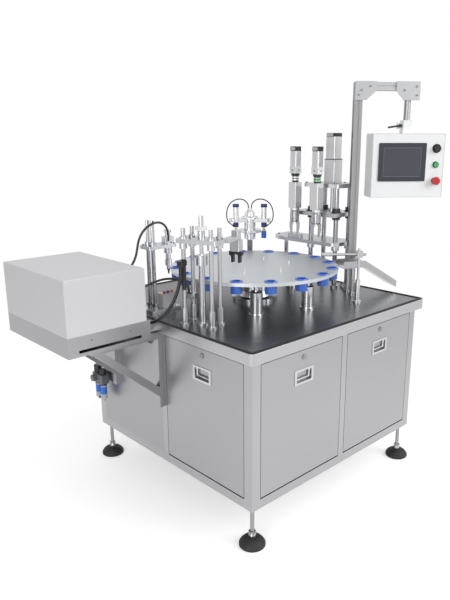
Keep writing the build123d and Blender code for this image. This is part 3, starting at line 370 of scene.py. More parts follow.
@dataclass(frozen=True)
class Grained(Finish):
    """Paint, plastic or rubber with a fine skin texture."""

    grain: float = 700.0
    depth: float = 0.0001
    strength: float = 0.3
    cloud: float = 5.0
    reach: float = 0.04

    def paint(self, nodes: Nodes) -> None:
        """Fine noise for the skin, broad noise for handling marks.

        Args:
            nodes: the material's nodes.
        """
        skin = nodes.noise((self.grain,) * 3, 2.0)
        cloud = nodes.noise((self.cloud,) * 3, 3.0)
        nodes.dress(Base_Color=nodes.blend(cloud, *self.shades()))
        nodes.dress(Roughness=self.roughness - self.reach + cloud * (2 * self.reach))
        nodes.bump(skin, self.strength, self.depth)


@dataclass(frozen=True)
class Look:
    """The colour and sheen of one zone."""

    colour: Colour
    roughness: float = 0.3
    metallic: float = 1.0


@dataclass(frozen=True)
class Zone:
    """A part of a piece with its own look: between two levels, and within a radius of an upright axis."""

    levels: Pair
    look: Look
    centre: Pair = (0.0, 0.0)
    radius: float = 0.0

    def share(self, nodes: Nodes) -> Value:
        """One inside the zone, else nought.

        Args:
            nodes: the node tree.

        Returns:
            The share.
        """
        height = nodes.along(Axis.Z)
        low, high = self.levels
        inside = (height > low) * ((high - height) > 0.0)
        if self.radius:
            off_x = nodes.along(Axis.X) - self.centre[0]
            off_y = nodes.along(Axis.Y) - self.centre[1]
            inside = inside * ((self.radius ** 2 - (off_x * off_x + off_y * off_y)) > 0.0)
        return inside


@dataclass(frozen=True)
class Zoned(Finish):
    """One piece in several looks, with brushing along an axis over them all."""

    metallic: float = 1.0
    zones: tuple[Zone, ...] = ()
    along: Axis = Axis.Z
    streaks: float = 600.0
    stretch: float = 100.0
    reach: float = 0.03
    strength: float = 0.08
    depth: float = 0.00001

    def paint(self, nodes: Nodes) -> None:
        """Each zone replaces what lies in it.

        Args:
            nodes: the material's nodes.
        """
        streak = nodes.streaks(self.along, self.streaks, self.stretch)
        colour = nodes.blend(streak, *self.shades())
        roughness: Number = self.roughness - self.reach + streak * (2 * self.reach)
        metallic: Number = self.metallic
        for zone in self.zones:
            share = zone.share(nodes)
            colour = nodes.blend(share, colour, nodes.blend(streak, *self.shades(zone.look.colour)))
            roughness = roughness + share * (zone.look.roughness - roughness)
            metallic = metallic + share * (zone.look.metallic - metallic)
        nodes.dress(Base_Color=colour, Roughness=roughness, Metallic=metallic)
        nodes.bump(streak, self.strength, self.depth)


@dataclass(frozen=True)
class TableSheet(Finish):
    """The table: a dark reflective top inside a bright brushed rim."""

    rim: Colour = (0.50, 0.50, 0.515)
    rim_roughness: float = 0.34
    top_level: float = 0.8495
    streak_scale: Point = (3.0, 260.0, 3.0)
    cloud_scale: Point = (2.2, 2.2, 2.2)
    grain_scale: Point = (8.0, 8.0, 900.0)
    streak_share: float = 0.4
    cloud_share: float = 0.6
    dark_shades: Pair = (0.8, 1.25)
    rim_shades: Pair = (0.92, 1.06)
    streak_rough: float = 0.1
    strength: float = 0.1
    depth: float = 0.00003

    def paint(self, nodes: Nodes) -> None:
        """Above the top's level the sheet is dark and streaky, and the rim is brushed along its length.

        Args:
            nodes: the material's nodes.
        """
        streak = nodes.noise(self.streak_scale, 4.0)
        cloud = nodes.noise(self.cloud_scale, 2.0)
        grain = nodes.noise(self.grain_scale, 3.0)
        above = nodes.along(Axis.Z) > self.top_level
        marks = streak * self.streak_share + cloud * self.cloud_share
        dark = nodes.blend(marks, *(tint(self.colour, by) for by in self.dark_shades))
        bright = nodes.blend(grain, *(tint(self.rim, by) for by in self.rim_shades))
        nodes.dress(Base_Color=nodes.blend(above, bright, dark), Metallic=self.metallic)
        change = self.roughness - self.rim_roughness + streak * self.streak_rough
        nodes.dress(Roughness=self.rim_roughness + above * change)
        nodes.bump(grain, self.strength, self.depth)


STEEL: Colour = (0.41, 0.41, 0.425)
DOOR_STEEL = Brushed("door steel", STEEL, roughness=0.36)
PANEL_STEEL = Brushed("panel steel", tint(STEEL, 0.97), roughness=0.38)
FRAME_STEEL = Brushed("frame steel", tint(STEEL, 1.06), roughness=0.30, streaks=700.0)
RAIL_STEEL = Brushed("rail steel", tint(STEEL, 1.04), roughness=0.32, along=Axis.X)
TRAY_STEEL = Brushed("tray steel", tint(STEEL, 0.95), roughness=0.34, along=Axis.X)
CHUTE_STEEL = Brushed("chute steel", tint(STEEL, 1.1), roughness=0.26, along=Axis.X)
TABLE = TableSheet("table sheet", (0.15, 0.154, 0.163), roughness=0.24, metallic=1.0)
CHROME = Turned("bright bar", (0.60, 0.60, 0.62), roughness=0.16)
CHUCK = Turned("chuck", (0.42, 0.42, 0.44), roughness=0.18)
FINGER = Brushed("chuck finger", (0.34, 0.345, 0.36), roughness=0.3, streaks=500.0)
ZINC = Turned("zinc stud", (0.34, 0.34, 0.35), roughness=0.26)
BEZEL = Finish("handle bezel", (0.60, 0.605, 0.62), roughness=0.3, metallic=1.0)
POLISHED = Finish("polished fitting", (0.75, 0.75, 0.77), roughness=0.12, metallic=1.0)
SATIN = Brushed("satin aluminium", (0.50, 0.51, 0.52), roughness=0.36, along=Axis.X, streaks=600.0)
MILLED = Brushed("milled aluminium", (0.56, 0.57, 0.59), roughness=0.3, along=Axis.Y, streaks=500.0)
BLUE = Grained("blue puck", (0.035, 0.13, 0.55), roughness=0.28, coat=0.3)
RUBBER = Grained("black rubber", (0.012, 0.012, 0.013), roughness=0.62, spread=0.2)
HOSE = Grained("black hose", (0.010, 0.010, 0.011), roughness=0.34, spread=0.2, coat=0.2)
BLACK = Grained("black plastic", (0.014, 0.014, 0.016), roughness=0.38, spread=0.15)
PALE = Grained("pale paint", (0.72, 0.72, 0.735), roughness=0.42, spread=0.02, grain=420.0)
WHITE = Grained("white paint", (0.87, 0.88, 0.885), roughness=0.36, spread=0.015, grain=420.0)
GREEN = Grained("green cap", (0.03, 0.42, 0.12), roughness=0.25, coat=0.4)
RED = Grained("red cap", (0.55, 0.012, 0.015), roughness=0.25, coat=0.4)
DARK_STEEL = Turned("dark screw", (0.10, 0.10, 0.11), roughness=0.35)
GLASS_DARK = Finish("dark screen", (0.028, 0.034, 0.05), roughness=0.12, coat=0.6)
ORANGE = Grained("orange fitting", (0.75, 0.20, 0.05), roughness=0.35)
NAVY = Grained("navy fitting", (0.02, 0.035, 0.16), roughness=0.35, coat=0.2)
LIME = Grained("lime fitting", (0.55, 0.62, 0.08), roughness=0.35)
DARK = Look(BLACK.colour, 0.4, 0.0)
NAVY_CAP = Look(NAVY.colour, 0.4, 0.0)
BRIGHT = Look(CHROME.colour, 0.15)
SLEEVE = Look(SATIN.colour, 0.34)
CLAMP = Look(SATIN.colour, 0.32)


# Surfaces

CORNER_STEPS = 5
RING_SIDES = 32
SHARP_ANGLE = math.radians(35)
BEZEL_EDGE = 0.0003
# How far an added piece is let into the face that carries it
SUNK = 0.0003
TO_LEFT: Point = (-1.0, 0.0, 0.0)
TO_FRONT: Point = (0.0, -1.0, 0.0)
UPWARD: Point = (0.0, 0.0, 1.0)


def rounded(size: Pair, corner: float, out: float, up: float) -> np.ndarray:
    """A rounded rectangle at one level: an inner rectangle's corner plus a quarter circle.

    Args:
        size: width and depth.
        corner: radius of the corners.
        out: how far the whole line is moved outwards.
        up: the level.

    Returns:
        The points, anticlockwise seen from above.
    """
    quarter = np.linspace(0, np.pi / 2, CORNER_STEPS)
    turns = (quarter[None] + np.arange(4)[:, None] * np.pi / 2).ravel()
    signs = np.repeat([[1, 1], [-1, 1], [-1, -1], [1, -1]], CORNER_STEPS, axis=0)
    arcs = (corner + out) * np.stack([np.cos(turns), np.sin(turns)], axis=-1)
    return np.column_stack([signs * (np.array(size) / 2 - corner) + arcs, np.full(len(turns), up)])


@dataclass
class Shell:
    """A closed surface: its points, and its faces as numbers of points."""

    points: np.ndarray
    faces: list[Face]

    @staticmethod
    def through(loops: np.ndarray, ends: Optional[Pair] = None) -> "Shell":
        """Joins closed loops of points by quads, and closes both ends with fans about the axis.

        Args:
            loops: the points, by loop, by point, by axis, each loop anticlockwise seen from the last.
            ends: levels of the two points that close the ends. Without them the last loop is joined
                to the first.

        Returns:
            The closed shell.
        """
        count, sides = loops.shape[:2]
        row, step = np.meshgrid(np.arange(count - 1 if ends else count), np.arange(sides), indexing="ij")
        above, beside = (row + 1) % count, (step + 1) % sides
        quads = (row * sides + step, row * sides + beside, above * sides + beside, above * sides + step)
        faces = np.stack(quads, axis=-1).reshape(-1, 4).tolist()
        points = loops.reshape(-1, 3)
        if ends:
            side, beside = step[0], beside[0]
            middle, top = np.full(sides, len(points)), len(points) - sides
            faces += np.stack([middle, beside, side], axis=-1).tolist()
            faces += np.stack([middle + 1, side + top, beside + top], axis=-1).tolist()
            points = np.vstack([points, *((0, 0, end) for end in ends)])
        return Shell(points, faces)

    @staticmethod
    def turned(outline: Sequence[Pair], sides: int, hollow: bool = False) -> "Shell":
        """A surface of revolution about Z: x = r cos t, y = r sin t, z = h, for each outline point.

        Args:
            outline: radius and height of each ring, with radius nought at both ends unless hollow.
            sides: how many sides a ring has.
            hollow: whether the outline is a closed one around a hole.

        Returns:
            The closed shell.
        """
        rings = np.array(outline if hollow else outline[1:-1])
        turns = np.arange(sides) * 2 * np.pi / sides
        flat = rings[:, None, :1] * np.stack([np.cos(turns), np.sin(turns)], axis=-1)[None]
        heights = np.broadcast_to(rings[:, None, 1:], (len(rings), sides, 1))
        loops = np.concatenate([flat, heights], axis=-1)
        return Shell.through(loops, None if hollow else (outline[0][1], outline[-1][1]))

    @staticmethod
    def ring(inner: float, outer: float, high: float, edge: float = 0.0004) -> "Shell":
        """A collar on its base: a chamfered rectangle turned about Z.

        Args:
            inner: radius of its hole.
            outer: radius of its outside.
            high: its height.
            edge: how far its edges are cut back.

        Returns:
            The closed shell.
        """
        outline = ((inner, high - edge), (inner, edge), (inner + edge, 0), (outer - edge, 0),
                   (outer, edge), (outer, high - edge), (outer - edge, high), (inner + edge, high))
        return Shell.turned(outline, RING_SIDES, hollow=True)

    @staticmethod
    def bezel(outer: Pair, inner: Pair, high: float, corner: float) -> "Shell":
        """A flat rectangular frame on its base, its top edges drawn in.

        The loops run down the opening, out under the frame and up its outside.

        Args:
            outer: width and depth of its outside.
            inner: width and depth of its opening.
            high: its height.
            corner: radius of its outside corners, and twice that of its opening's.

        Returns:
            The closed shell.
        """
        tight, edge = corner / 2, BEZEL_EDGE
        lines = ((inner, tight, 0.0, high - edge), (inner, tight, 0.0, 0.0),
                 (outer, corner, 0.0, 0.0), (outer, corner, 0.0, high - edge),
                 (outer, corner, -edge, high), (inner, tight, edge, high))
        return Shell.through(np.array([rounded(*line) for line in lines]))

    @staticmethod
    def block(size: Point, corner: float, edge: float = 0.0006) -> "Shell":
        """A block on its base with rounded upright corners and softened level edges.

        The loops near the two ends are drawn in by the edge.

        Args:
            size: sizes along X, Y and Z.
            corner: radius of the upright corners.
            edge: how far the level edges are drawn in.

        Returns:
            The closed shell.
        """
        height = size[2]
        levels = ((-edge, 0.0), (0.0, edge), (0.0, height - edge), (-edge, height))
        loops = [rounded(size[:2], corner, out, up) for out, up in levels]
        return Shell.through(np.array(loops), (0, height))

    @staticmethod
    def merged(shells: Sequence["Shell"]) -> "Shell":
        """Several shells in one.

        Args:
            shells: the shells.

        Returns:
            The merged shell.
        """
        starts = np.cumsum([0] + [len(shell.points) for shell in shells]).tolist()
        faces = [[number + start for number in face]
                 for shell, start in zip(shells, starts) for face in shell.faces]
        return Shell(np.vstack([shell.points for shell in shells]), faces)

    def facing(self, origin: Sequence[float], out: Sequence[float]) -> "Shell":
        """The shell stood on a place, with its Z turned to point out and its Y upright where it can be.

        Args:
            origin: where the shell's own origin goes.
            out: the direction that its Z takes.

        Returns:
            A moved copy.
        """
        z_way = Vector(out).normalized()
        lean = Vector(UPWARD) if abs(z_way.z) < 0.99 else Vector((0, 1, 0))
        x_way = lean.cross(z_way).normalized()
        y_way = z_way.cross(x_way)
        turn = np.array([x_way, y_way, z_way])
        return Shell(self.points @ turn + np.array(origin), self.faces)

    def repeated(self, places: Sequence[Sequence[float]]) -> "Shell":
        """Copies of the shell moved by each place, in one."""
        return Shell.merged([Shell(self.points + np.array(place), self.faces) for place in places])

    def piece(self, name: str, finish: Finish, body: str, slot: str = "bright_metal") -> None:
        """Makes the shell a piece of the machine, shaded smooth up to its sharp edges.

        Args:
            name: the piece's name.
            finish: its finish.
            body: the body that it rides on.
            slot: the record's material slot; not used.
        """
        mesh = bpy.data.meshes.new(name)
        mesh.from_pydata(self.points.tolist(), [], self.faces)
        mesh.update()
        mesh.materials.append(finish.make())
        made = bpy.data.objects.new(name, mesh)
        bpy.context.collection.objects.link(made)
        mesh.shade_smooth()
        mesh.set_sharp_from_angle(angle=SHARP_ANGLE)
        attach(made, body)
        LOG.info("%s rides on %s", name, body)


def cap_screw(radius: float) -> Shell:
    """A socket cap screw's head: a drum with a softened rim and a round recess.

    Args:
        radius: radius of the head.

    Returns:
        The head, on its base.
    """
    high = radius * 1.1
    floor = high * 0.45
    return Shell.turned(((0, 0), (radius, 0), (radius, high * 0.85), (radius * 0.9, high),
                         (radius * 0.58, high), (radius * 0.52, floor), (0, floor)), 18)


def add_screws(name: str, body: str, spots: Sequence[Point], radius: float = 0.0045,
               out: Point = UPWARD, finish: Finish = DARK_STEEL) -> None:
    """Makes socket cap screws of one size, as one piece.

    Args:
        name: the piece's name.
        body: the body that they ride on.
        spots: where their heads stand.
        radius: radius of a head.
        out: the direction that the heads point in.
        finish: their finish.
    """
    heads = cap_screw(radius).facing((0, 0, 0), out).repeated(spots)
    heads.piece(name, finish, body)


def dress(finish: Finish, *nodes: str) -> None:
    """Gives carried-over nodes a finish.

    Args:
        finish: the finish.
        nodes: the nodes' names.
    """
    for name in nodes:
        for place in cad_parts[name].material_slots:
            place.material = finish.make()
        LOG.info("%s: %s", name, finish.name)


CABINET_X = sum(corner[0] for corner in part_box("table_top")) / 2


@dataclass(frozen=True)
class Station:
    """A place on the table with its own turn: x and y along it, z up."""

    x: float
    y: float
    turn: float = 0.0

    def way(self, along: float, aside: float) -> Point:
        """A level direction of the station in the machine's frame.

        Args:
            along: its share along the station.
            aside: its share across the station.

        Returns:
            The direction.
        """
        turn = math.radians(self.turn)
        cosine, sine = math.cos(turn), math.sin(turn)
        return along * cosine - aside * sine, along * sine + aside * cosine, 0.0

    def at(self, along: float, aside: float, up: float) -> Point:
        """A point of the station in the machine's frame."""
        shift = self.way(along, aside)
        return CABINET_X + self.x + shift[0], self.y + shift[1], up

    def spot(self, along: float, aside: float) -> Pair:
        """A place on the ground in the machine's frame."""
        return self.at(along, aside, 0.0)[:2]

    def corners(self, along: float, aside: float, up: float) -> list[Point]:
        """The four corners of a level rectangle, given half its sizes."""
        return [self.at(a * along, b * aside, up) for a in (-1, 1) for b in (-1, 1)]


TABLE_MIDDLE = Station(0.0, 0.0)
PLACER = Station(-0.470, -0.170, 20.0)
PICKER = Station(-0.455, 0.152)
PICKER_PLATE = Station(-0.453, 0.152)
TRANSFER = Station(0.2888, 0.3304, -44.0)
TOWER = Station(0.498, -0.060)
ACTUATOR = Station(0.505, -0.065)
SENSOR = Station(0.290, -0.405)
AIR_UNIT = Station(-0.605, 0.493)
POLE = Station(0.502, -0.204, -39.0)
HANGER = Station(0.69629, -0.36133, -39.0)


@dataclass
class Camera:
    """The photograph's viewpoint, found from the cabinet's corners."""

    place: Point = (-2.02289, -2.06049, 1.59299)
    heading: float = 45.969
    pitch: float = -14.554
    focal_share: float = 604.51 / 600
    film: float = 36.0
    shift: Pair = (-0.04145, -0.0019)

    def build(self) -> None:
        """Makes the camera and sets it as the scene's."""
        data = bpy.data.cameras.new("camera")
        data.sensor_fit = "AUTO"
        data.sensor_width = self.film
        data.lens = self.film * self.focal_share
        data.shift_x, data.shift_y = self.shift
        data.clip_end = 100.0
        made = bpy.data.objects.new("camera", data)
        made.location = (self.place[0] + CABINET_X, self.place[1], self.place[2])
        made.rotation_euler = (math.radians(90 + self.pitch), 0.0, math.radians(self.heading - 90))
        bpy.context.collection.objects.link(made)
        bpy.context.scene.camera = made


@dataclass
class Studio:
    """A plain white studio: floor, world and soft lamps."""

    floor_side: float = 60.0
    shade_radius: float = 3.0
    shade_core: float = 0.2
    grey: Colour = (0.80, 0.80, 0.80)
    glow: Colour = (0.40, 0.40, 0.40)
    sky: float = 0.72
    gloss: float = 0.92
    slope: Pair = (0.16, -0.20)
    aim: Point = (0, 0, 0.9)
    lamps: tuple[tuple[Point, float, float], ...] = (
        ((1.9, -5.0, 3.2), 3.0, 125.0), ((-4.8, -2.4, 1.9), 2.6, 100.0), ((1.0, 4.5, 4.8), 3.0, 20.0))

    def build(self) -> None:
        """Makes floor, world and lamps."""
        self.floor()
        self.world()
        for number, (place, side, power) in enumerate(self.lamps):
            light = bpy.data.lights.new(f"lamp {number}", "AREA")
            light.size = side
            light.energy = power
            lamp = bpy.data.objects.new(f"lamp {number}", light)
            lamp.location = place
            lamp.rotation_euler = (Vector(self.aim) - Vector(place)).to_track_quat("-Z", "Y").to_euler()
            bpy.context.collection.objects.link(lamp)

    def floor(self) -> None:
        """A pale floor that looks white to the camera and still takes the machine's shadow."""
        half = self.floor_side / 2
        corners = [(-half, -half, 0), (half, -half, 0), (half, half, 0), (-half, half, 0)]
        mesh = bpy.data.meshes.new("floor")
        mesh.from_pydata(corners, [], [(0, 1, 2, 3)])
        material = bpy.data.materials.new("floor")
        nodes = Nodes(material)
        x, y = nodes.along(Axis.X), nodes.along(Axis.Y)
        far = ((x * x + y * y) / self.shade_radius ** 2 - self.shade_core).least(1.0).most(0.0)
        black, white = (0.0, 0.0, 0.0), (1.0, 1.0, 1.0)
        nodes.dress(Base_Color=nodes.blend(far, self.grey, black), Roughness=1.0)
        nodes.dress(Specular_IOR_Level=0.0, Emission_Strength=1.0)
        seen = nodes.rays("Camera", "Glossy", "Transmission")
        nodes.dress(Emission_Color=nodes.blend(seen, black, nodes.blend(far, self.glow, white)))
        mesh.materials.append(material)
        floor = bpy.data.objects.new("floor", mesh)
        bpy.context.collection.objects.link(floor)

    def world(self) -> None:
        """White to the camera; to gloss and to the surfaces' own light, a grey graded from side to side."""
        world = bpy.data.worlds.new("studio")
        bpy.context.scene.world = world
        nodes = Nodes(world)
        view = nodes.node("ShaderNodeTexCoord").outputs["Generated"]
        way = nodes.node("ShaderNodeSeparateXYZ", {0: view}).outputs
        slope = Value(nodes, way[0]) * self.slope[0] + Value(nodes, way[1]) * self.slope[1]
        level = slope + self.sky + nodes.rays("Glossy", "Transmission") * (self.gloss - self.sky)
        level = level + nodes.rays("Camera") * (1.0 - level)
        white = nodes.node("ShaderNodeBackground", {"Color": (1.0, 1.0, 1.0), "Strength": level})
        nodes.node("ShaderNodeOutputWorld", {"Surface": white.outputs[0]})


@dataclass
class Hose:
    """A hose on its route, as one smooth curve that takes the place of its plain tube."""

    node: str
    route: Sequence[Point]
    diameter: float
    length: float
    body: str = "cabinet"
    stiffness: str = "medium"

    def build(self) -> None:
        curve = bpy.data.curves.new(f"{self.node}_line", "CURVE")
        curve.dimensions = "3D"
        curve.bevel_depth = self.diameter / 2
        curve.bevel_resolution = 5
        curve.resolution_u = 10
        curve.use_fill_caps = True
        spline = curve.splines.new("NURBS")
        spline.points.add(len(self.route) - 1)
        for point, place in zip(spline.points, self.route):
            point.co = (*place, 1.0)
        spline.order_u = 3
        spline.use_endpoint_u = True
        curve.materials.append(HOSE.make())
        made = bpy.data.objects.new(f"{self.node}_line", curve)
        bpy.context.collection.objects.link(made)
        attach(made, self.body)
        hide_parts(self.node)
        LOG.info("%s: %d points", self.node, len(self.route))


@dataclass
class Hoses:
    """All the hoses, on the routes that their tubes take."""

    loop: tuple[Point, ...] = (
        (-0.5505, -0.1301, 1.096), (-0.5505, -0.1301, 1.062), (-0.556, -0.124, 1.018),
        (-0.567, -0.114, 0.972), (-0.582, -0.098, 0.930), (-0.598, -0.074, 0.893), (-0.611, -0.042, 0.865),
        (-0.620, -0.004, 0.851), (-0.624, 0.034, 0.836), (-0.622, 0.066, 0.806), (-0.613, 0.082, 0.772),
        (-0.594, 0.088, 0.746), (-0.568, 0.089, 0.736))
    arch: tuple[Point, ...] = (
        (-0.420, 0.122, 1.164), (-0.420, 0.122, 1.194), (-0.430, 0.119, 1.226), (-0.456, 0.112, 1.248),
        (-0.490, 0.108, 1.256), (-0.524, 0.115, 1.246), (-0.550, 0.128, 1.220), (-0.564, 0.141, 1.184),
        (-0.570, 0.146, 1.146), (-0.577, 0.149, 1.110), (-0.594, 0.151, 1.078), (-0.620, 0.152, 1.057),
        (-0.646, 0.152, 1.051), (-0.669, 0.152, 1.051))
    feed: tuple[Point, ...] = (
        (-0.669, 0.0, 1.012), (-0.642, 0.0, 1.012), (-0.600, -0.008, 1.024), (-0.556, -0.020, 1.034),
        (-0.516, -0.036, 1.032), (-0.482, -0.056, 1.018), (-0.4623, -0.071, 0.996), (-0.4623, -0.071, 0.968))
    arm: tuple[Pair, ...] = (
        (0.008, 1.243), (0.008, 1.262), (0.024, 1.283), (0.050, 1.293), (0.080, 1.289), (0.106, 1.272),
        (0.122, 1.246), (0.128, 1.216), (0.127, 1.188), (0.119, 1.164), (0.097, 1.150))

    def build(self) -> None:
        """Makes every hose."""
        standing = (("hose_loop", self.loop, 0.014, 0.488), ("hose_arch", self.arch, 0.010, 0.439),
                    ("hose_feed", self.feed, 0.010, 0.261))
        for node, route, diameter, length in standing:
            Hose(node, [TABLE_MIDDLE.at(*point) for point in route], diameter, length).build()
        for side, hand in (("left", -1), ("right", 1)):
            points = [TRANSFER.at(hand * along, 0.0, up) for along, up in self.arm]
            Hose(f"arm_tube_{side}", points, 0.006, 0.271, body="transfer", stiffness="limp").build()


@dataclass
class Cabinet:
    """The stainless cabinet on its feet, with its doors, its table and the drives inside."""

    side: float = 0.560
    door_middle: float = 0.26625
    handle_level: float = 0.674
    flange: float = 0.0015
    bezel_outside: Pair = (0.1142, 0.0642)
    bezel_opening: Pair = (0.0900, 0.0464)
    bezel_height: float = 0.0011
    bezel_corner: float = 0.004

    def build(self) -> None:
        """Dresses the plain pieces and the doors, and adds the bezels of the flush handles."""
        dress(PANEL_STEEL, "cabinet_panels")
        dress(FRAME_STEEL, "frame_posts")
        dress(RAIL_STEEL, "frame_rails")
        dress(RUBBER, "foot_pads", "table_edge_trim")
        dress(ZINC, "foot_studs")
        dress(TABLE, "table_top")
        dress(PALE, "index_drive", "control_plate")
        doors = (("front_left", (-self.door_middle, -self.side), TO_FRONT),
                 ("front_right", (self.door_middle, -self.side), TO_FRONT),
                 ("side", (-self.side, -self.door_middle), TO_LEFT))
        bezel = Shell.bezel(self.bezel_outside, self.bezel_opening, self.bezel_height, self.bezel_corner)
        for name, place, out in doors:
            dress(DOOR_STEEL, f"{name}_door")
            dress(POLISHED, f"{name}_bail")
            dress(ZINC, f"{name}_lock")
            seat = Vector(TABLE_MIDDLE.at(*place, self.handle_level)) + Vector(out) * (self.flange - SUNK)
            bezel.facing(seat, out).piece(f"{name}_bezel", BEZEL, f"{name}_door")


@dataclass
class Dial:
    """The indexing dial with its pucks."""

    pegs: Pair = (1.0142, 2.0)
    peg_circle: float = 0.2

    def build(self) -> None:
        """Dresses the dial: satin plate, bright pegs and posts, blue pucks."""
        bright = Zone(self.pegs, Look((0.8, 0.8, 0.82), 0.15), TABLE_MIDDLE.spot(0, 0), self.peg_circle)
        plate = Zoned("dial plate", (0.60, 0.625, 0.65), 0.42, 0.85, 0.03, zones=(bright,), along=Axis.X,
                      streaks=420.0)
        dress(plate, "dial_plate")
        dress(CHROME, "dial_hub", "dial_column")
        dress(BLUE, "bottle_pucks")


@dataclass
class Placer:
    """The cap placer station."""

    sleeves: Pair = (0.0, 0.923)
    guide: Pair = (1.103, 1.146)
    clamps: Pair = (1.0, 1.13)
    clamp_spot: Pair = (-0.049, 0.065)
    shaft_above: Pair = (1.2145, 1.5)
    shaft_below: Pair = (0.9, 1.195)
    collar: Pair = (1.247, 1.2625)
    plate_top: float = 1.214
    screw_along: float = 0.017
    screw_asides: Pair = (0.086, 0.045)
    flow_control: Pair = (-0.420, -0.052)
    flow_base: float = 0.850
    flow_body: Point = (0.030, 0.020, 0.016)

    def build(self) -> None:
        """Dresses the station and adds its screws."""
        centre = PLACER.spot(0, 0)
        stand = (Zone(self.sleeves, SLEEVE), Zone(self.guide, CLAMP, centre, radius=0.03),
                 Zone(self.clamps, DARK, PLACER.spot(*self.clamp_spot), radius=0.0245))
        dress(Zoned("placer bars", (0.52, 0.52, 0.54), 0.16, zones=stand), "placer_stand")
        head = (Zone(self.shaft_above, BRIGHT, centre, radius=0.012),
                Zone(self.collar, Look((0.8, 0.8, 0.8), 0.45, 0.0), centre, radius=0.026),
                Zone(self.shaft_below, BRIGHT, centre, radius=0.012))
        dress(Zoned("placer head", MILLED.colour, 0.3, zones=head, along=Axis.Y), "placer_head")
        dress(BLACK, "placer_jaw_left", "placer_jaw_right")
        spots = [spot for aside in self.screw_asides
                 for spot in PLACER.corners(self.screw_along, aside, self.plate_top)]
        add_screws("placer_plate_screws", "placer_head", spots, 0.0038)
        self.flow_valve()

    def flow_valve(self) -> None:
        """Adds the flow control on the table: a block with a round knob on it."""
        body = Shell.block(self.flow_body, corner=0.003)
        body = body.repeated([TABLE_MIDDLE.at(*self.flow_control, self.flow_base)])
        body.piece("flow_control_body", BLACK, "cabinet", "black_plastic")
        knob = Shell.turned(((0, 0), (0.007, 0), (0.007, 0.014), (0.0055, 0.016), (0, 0.016)), 24)
        spot = TABLE_MIDDLE.at(*self.flow_control, self.flow_base + self.flow_body[2])
        knob.repeated([spot]).piece("flow_control_knob", LIME, "cabinet", "green_plastic")


@dataclass
class Picker:
    """The cap pick station beside the feeder, with its valve block."""

    posts: Pair = (0.873, 1.13)
    post_tops: Pair = (1.1645, 1.4)
    post_along: float = -0.042
    valve: Pair = (0.8622, 0.9242)
    valve_spot: Pair = (0.028, -0.010)
    fittings: Pair = (0.9242, 0.94)
    fitting_places: Point = (0.008, 0.028, 0.048)
    fitting_aside: float = -0.022
    fitting_colours: tuple[Colour, ...] = (RED.colour, (0.02, 0.06, 0.45), ORANGE.colour)
    grip: Pair = (0.9, 1.032)
    grip_along: float = 0.053
    plate_screws: Pair = (0.064, 0.028)
    plate_top: float = 1.150

    def build(self) -> None:
        """Dresses the station: bright posts, milled plate, pale valves with coloured fittings."""
        post = PICKER.spot(self.post_along, 0)
        zones = [Zone(self.posts, Look((0.45, 0.45, 0.47), 0.2), post, radius=0.032),
                 Zone(self.post_tops, BRIGHT, post, radius=0.032),
                 Zone(self.valve, Look((0.62, 0.62, 0.62), 0.4, 0.0), PICKER.spot(*self.valve_spot),
                      radius=0.044)]
        for along, colour in zip(self.fitting_places, self.fitting_colours):
            spot = PICKER.spot(along, self.fitting_aside)
            zones.append(Zone(self.fittings, Look(colour, 0.35, 0.0), spot, radius=0.009))
        stand = Zoned("picker stand", MILLED.colour, 0.3, zones=tuple(zones), along=Axis.Y)
        dress(stand, "picker_stand")
        grip = Zone(self.grip, Look(BLACK.colour, 0.5, 0.0), PICKER.spot(self.grip_along, 0), radius=0.02)
        dress(Zoned("picker tool", (0.62, 0.62, 0.64), 0.22, zones=(grip,)), "picker_tool")
        spots = PICKER_PLATE.corners(*self.plate_screws, self.plate_top)
        add_screws("picker_plate_screws", "cabinet", spots, 0.0038)


@dataclass
class Transfer:
    """The rotary transfer unit with its two vacuum cups."""

    reach: float = 0.077
    lower_ends: Pair = (1.130, 1.1665)
    upper_ends: Pair = (1.2475, 1.27)
    barrels: Pair = (1.1875, 1.2475)
    elbow_along: float = 0.099
    nipples: Pair = (1.1172, 1.1312)
    rods: Pair = (1.1312, 1.4)
    bearing: Pair = (1.07, 1.2)
    base: Pair = (0.84, 0.8625)
    dome_top: float = 1.195
    dome_circle: float = 0.039

    def build(self) -> None:
        """Dresses the unit: bright cylinders between navy ends, blue cups, a dark column."""
        zones = []
        for hand in (-1, 1):
            spot, elbow = TRANSFER.spot(hand * self.reach, 0), TRANSFER.spot(hand * self.elbow_along, 0)
            zones += [Zone(self.lower_ends, NAVY_CAP, spot, radius=0.0156),
                      Zone(self.upper_ends, NAVY_CAP, spot, radius=0.018),
                      Zone(self.barrels, Look((0.78, 0.78, 0.80), 0.2), spot, radius=0.0166),
                      Zone(self.lower_ends, DARK, elbow, radius=0.0095)]
        arm = Zoned("transfer arm", (0.72, 0.73, 0.74), 0.26, zones=tuple(zones), along=Axis.X)
        dress(arm, "transfer_arm")
        cups = (Zone(self.nipples, Look((0.55, 0.42, 0.16))), Zone(self.rods, BRIGHT))
        dress(Zoned("vacuum cups", BLUE.colour, 0.32, 0.0, zones=cups), "transfer_cups")
        ends = (Zone(self.bearing, Look((0.68, 0.69, 0.70), 0.25)), Zone(self.base, SLEEVE))
        dress(Zoned("transfer column", (0.20, 0.20, 0.215), 0.25, zones=ends), "transfer_column")
        dome = [Station(TRANSFER.x, TRANSFER.y, TRANSFER.turn + 30 + 60 * k) for k in range(6)]
        spots = [way.at(self.dome_circle, 0, self.dome_top) for way in dome]
        add_screws("transfer_dome_screws", "transfer", spots, 0.0032)


